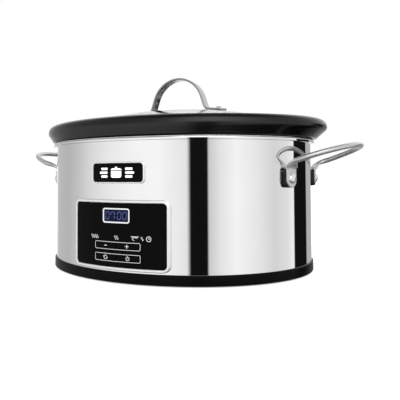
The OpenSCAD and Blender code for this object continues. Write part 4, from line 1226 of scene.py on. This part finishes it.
def lid_glass():
    glass_a = lid_values()[1]
    steps, edge = 24, 0.6
    radii = [glass_a * k / steps for k in range(steps)]
    top = dome_z(glass_a)
    line = [(r, dome_z(r) - GLASS_T) for r in radii]
    line += [(glass_a - edge, top - GLASS_T), (glass_a, top - GLASS_T + edge), (glass_a, top - edge),
             (glass_a - edge, top)]
    line += [(r, dome_z(r)) for r in reversed(radii)]
    mesh = rings_mesh(closed_ends([lid_ring(r, z) for r, z in line]))
    new_piece("glass_dome", mesh, "clear glass", "lid", ["lid_glass"], 50)


def lid_rim():
    """Folded steel band that holds the glass dome's edge."""
    lid_a, glass_a = lid_values()[:2]
    low, high = (corner[2] for corner in node_box("lid_rim"))
    inside, groove = lid_a - RIM_BAND_W, glass_a + RIM_AIR
    line = rounded([(inside, low, 0.2), (lid_a, low, 1.1), (lid_a, high, 1.1),
                    (inside, dome_z(inside) + RIM_AIR + RIM_SHEET, 0.2), (inside, dome_z(inside) + RIM_AIR),
                    (groove, dome_z(groove) + RIM_AIR), (groove, dome_z(groove) - GLASS_T - RIM_AIR),
                    (inside, low + RIM_SHEET)])
    mesh = rings_mesh([lid_ring(p.x, p.y) for p in line], True)
    new_piece("lid_band", mesh, "polished lid rim", "lid", ["lid_rim"], 40)


def foot_tilt():
    """How far the dome slopes at the lid's screws."""
    return math.asin(LID_SCREW_X / lid_values()[3])


def lid_handle():
    """Bent steel strap: an arch on two splayed legs that turn out into feet."""
    low, high = node_box("lid_handle")
    tilt = foot_tilt()
    half_w, arch_z, middle_r = high[1], high[2] - ARCH_R, ARCH_R - STRAP_T / 2
    end = Vector((high[0], low[2] + STRAP_T / 2 * math.cos(tilt)))
    leg = Vector((middle_r * math.cos(SPLAY), arch_z + middle_r * math.sin(SPLAY)))
    down = Vector((math.sin(SPLAY), -math.cos(SPLAY)))
    foot_dir = Vector((-math.cos(tilt), math.sin(tilt)))
    knee = end + foot_dir * (leg - end).cross(down) / foot_dir.cross(down)
    bend = rounded([(*leg, 0), (*knee, 7), (*end, 0)], closed=False, steps=10)
    arch = [Vector((middle_r * math.cos(t), arch_z + middle_r * math.sin(t)))
            for t in circle(24, 90, math.degrees(SPLAY))]
    right = arch + bend[:-1] + [bend[-2].lerp(bend[-1], k / 14) for k in range(1, 15)]
    line = [Vector((-p.x, p.y)) for p in reversed(right[1:])] + right
    reach = [0.0]
    for p, q in zip(line, line[1:]):
        reach.append(reach[-1] + (q - p).length)
    stations = []
    for point, step, done in zip(line, headings(line), reach):
        wide = half_w * round_end(min(done, reach[-1] - done), half_w)
        through = Vector((-step.y, 0, step.x)) * STRAP_T / 2
        stations.append((Vector((point.x, 0, point.y)), Vector((0, wide, 0)), through, 6))
    new_piece("strap_handle", sweep(stations), "brushed strap steel", "lid", ["lid_handle"], 50)


def at_lid_screw(side):
    """Placement at a lid screw, with +Z out of the glass."""
    place = Matrix.Translation((side * LID_SCREW_X, 0, dome_z(LID_SCREW_X)))
    return place @ Matrix.Rotation(side * foot_tilt(), 4, "Y")


def lid_fasteners():
    """Round-headed screws and the seals above and below the glass."""
    top = SEAL_T + SEAL_AIR + STRAP_T
    bottom = -GLASS_T - SEAL_T - SEAL_AIR
    screw = rounded([(0, top + 2.2), (3.2, top + 2.2, 0.9), (4.6, top + 0.6, 0.3), (4.6, top), (2, top),
                     (2, bottom - 2.6, 0.3), (0, bottom - 2.6)], closed=False)
    seals = [rounded([(SEAL_BORE, low, 0.1), (SEAL_R, low, 0.3), (SEAL_R, low + SEAL_T, 0.3),
                      (SEAL_BORE, low + SEAL_T, 0.1)]) for low in (0.03, bottom)]
    for name, lines, skin, slot, node in (
            ("lid_screw_pair", [screw], "polished rivet steel", "screw_steel", "lid_screws"),
            ("lid_seals", seals, "foot rubber", "foot_rubber", "lid_washers")):
        meshes = [moved(lathe(line), at_lid_screw(side)) for side in (-1, 1) for line in lines]
        new_piece(name, joined(meshes), skin, "lid", [node])


def grommet():
    """Steel eyelet of the steam vent."""
    low, high = node_box("vent_grommet")
    r, height = (high[0] - low[0]) / 2, high[2] - low[2]
    bore, neck, flange = 2.5, 3.9, 0.9
    line = rounded([(bore, 0, 0.3), (r, 0, 0.5), (r, flange, 0.3), (neck, flange), (neck, height - flange),
                    (r, height - flange, 0.3), (r, height, 0.6), (bore, height, 0.5)])
    place = Matrix.Translation(((low[0] + high[0]) / 2, (low[1] + high[1]) / 2, low[2]))
    new_piece("vent_eyelet", moved(lathe(line), place), "polished rivet steel", "lid",
              ["vent_grommet"])


# ---- inside: CAD nodes in their own materials ----

INSIDE = {
    "zinc sheet": ["bottom_plate", "sensor_bracket", "fuse_clip"],
    "plated screw steel": ["tie_rods", "heater_clamp", "temperature_sensor", "board_screws"],
    "mica band": ["heater_band"],
    "glass fibre": ["insulation_wrap"],
    "white ceramic": ["thermal_fuse"],
    "wire rubber": ["supply_wires"],
    "gland plastic": ["gland_nut", "tact_switches"],
    "dark moulding": ["display_module", "panel_tray"],
    "board green": ["control_board"],
    "lamp lens": ["mode_lamps"]}


def dress_inside():
    for skin, nodes in INSIDE.items():
        for node in nodes:
            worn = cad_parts[node].data.materials
            worn.clear()
            worn.append(finish(skin))


# ---- the whole ----

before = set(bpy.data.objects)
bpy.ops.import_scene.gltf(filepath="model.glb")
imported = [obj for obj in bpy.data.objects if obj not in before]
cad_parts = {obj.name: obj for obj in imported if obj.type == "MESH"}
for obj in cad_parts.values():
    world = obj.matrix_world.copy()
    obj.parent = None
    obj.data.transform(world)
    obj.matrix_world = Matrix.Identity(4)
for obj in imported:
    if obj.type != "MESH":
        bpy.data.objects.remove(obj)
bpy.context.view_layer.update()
OVAL_FLAT = math.cos(math.pi / CAD_SIDES)
A = node_box("outer_shell")[1][0] / OVAL_FLAT - LIP_OUT
B = node_box("outer_shell")[1][1] / OVAL_FLAT - LIP_OUT
FRONT_R = A * A / B
RIVET_Z = box_centre("handle_rivets")[1]
HANDLE_REACH = node_box("handle_right")[1][0] - BAR_D / 2 - A

for step in (camera, studio, floor, steel_wall, plinth, feet, plinth_screws, well, panel_frame, panel_face,
             display, digits, mode_signs, key_rings):
    step()
for key in KEYS:
    key_cap(key)
for step in (key_signs, badge, side_handles, handle_fittings, gland, crock, lid_glass, lid_rim, lid_handle,
             lid_fasteners, grommet, dress_inside):
    step()
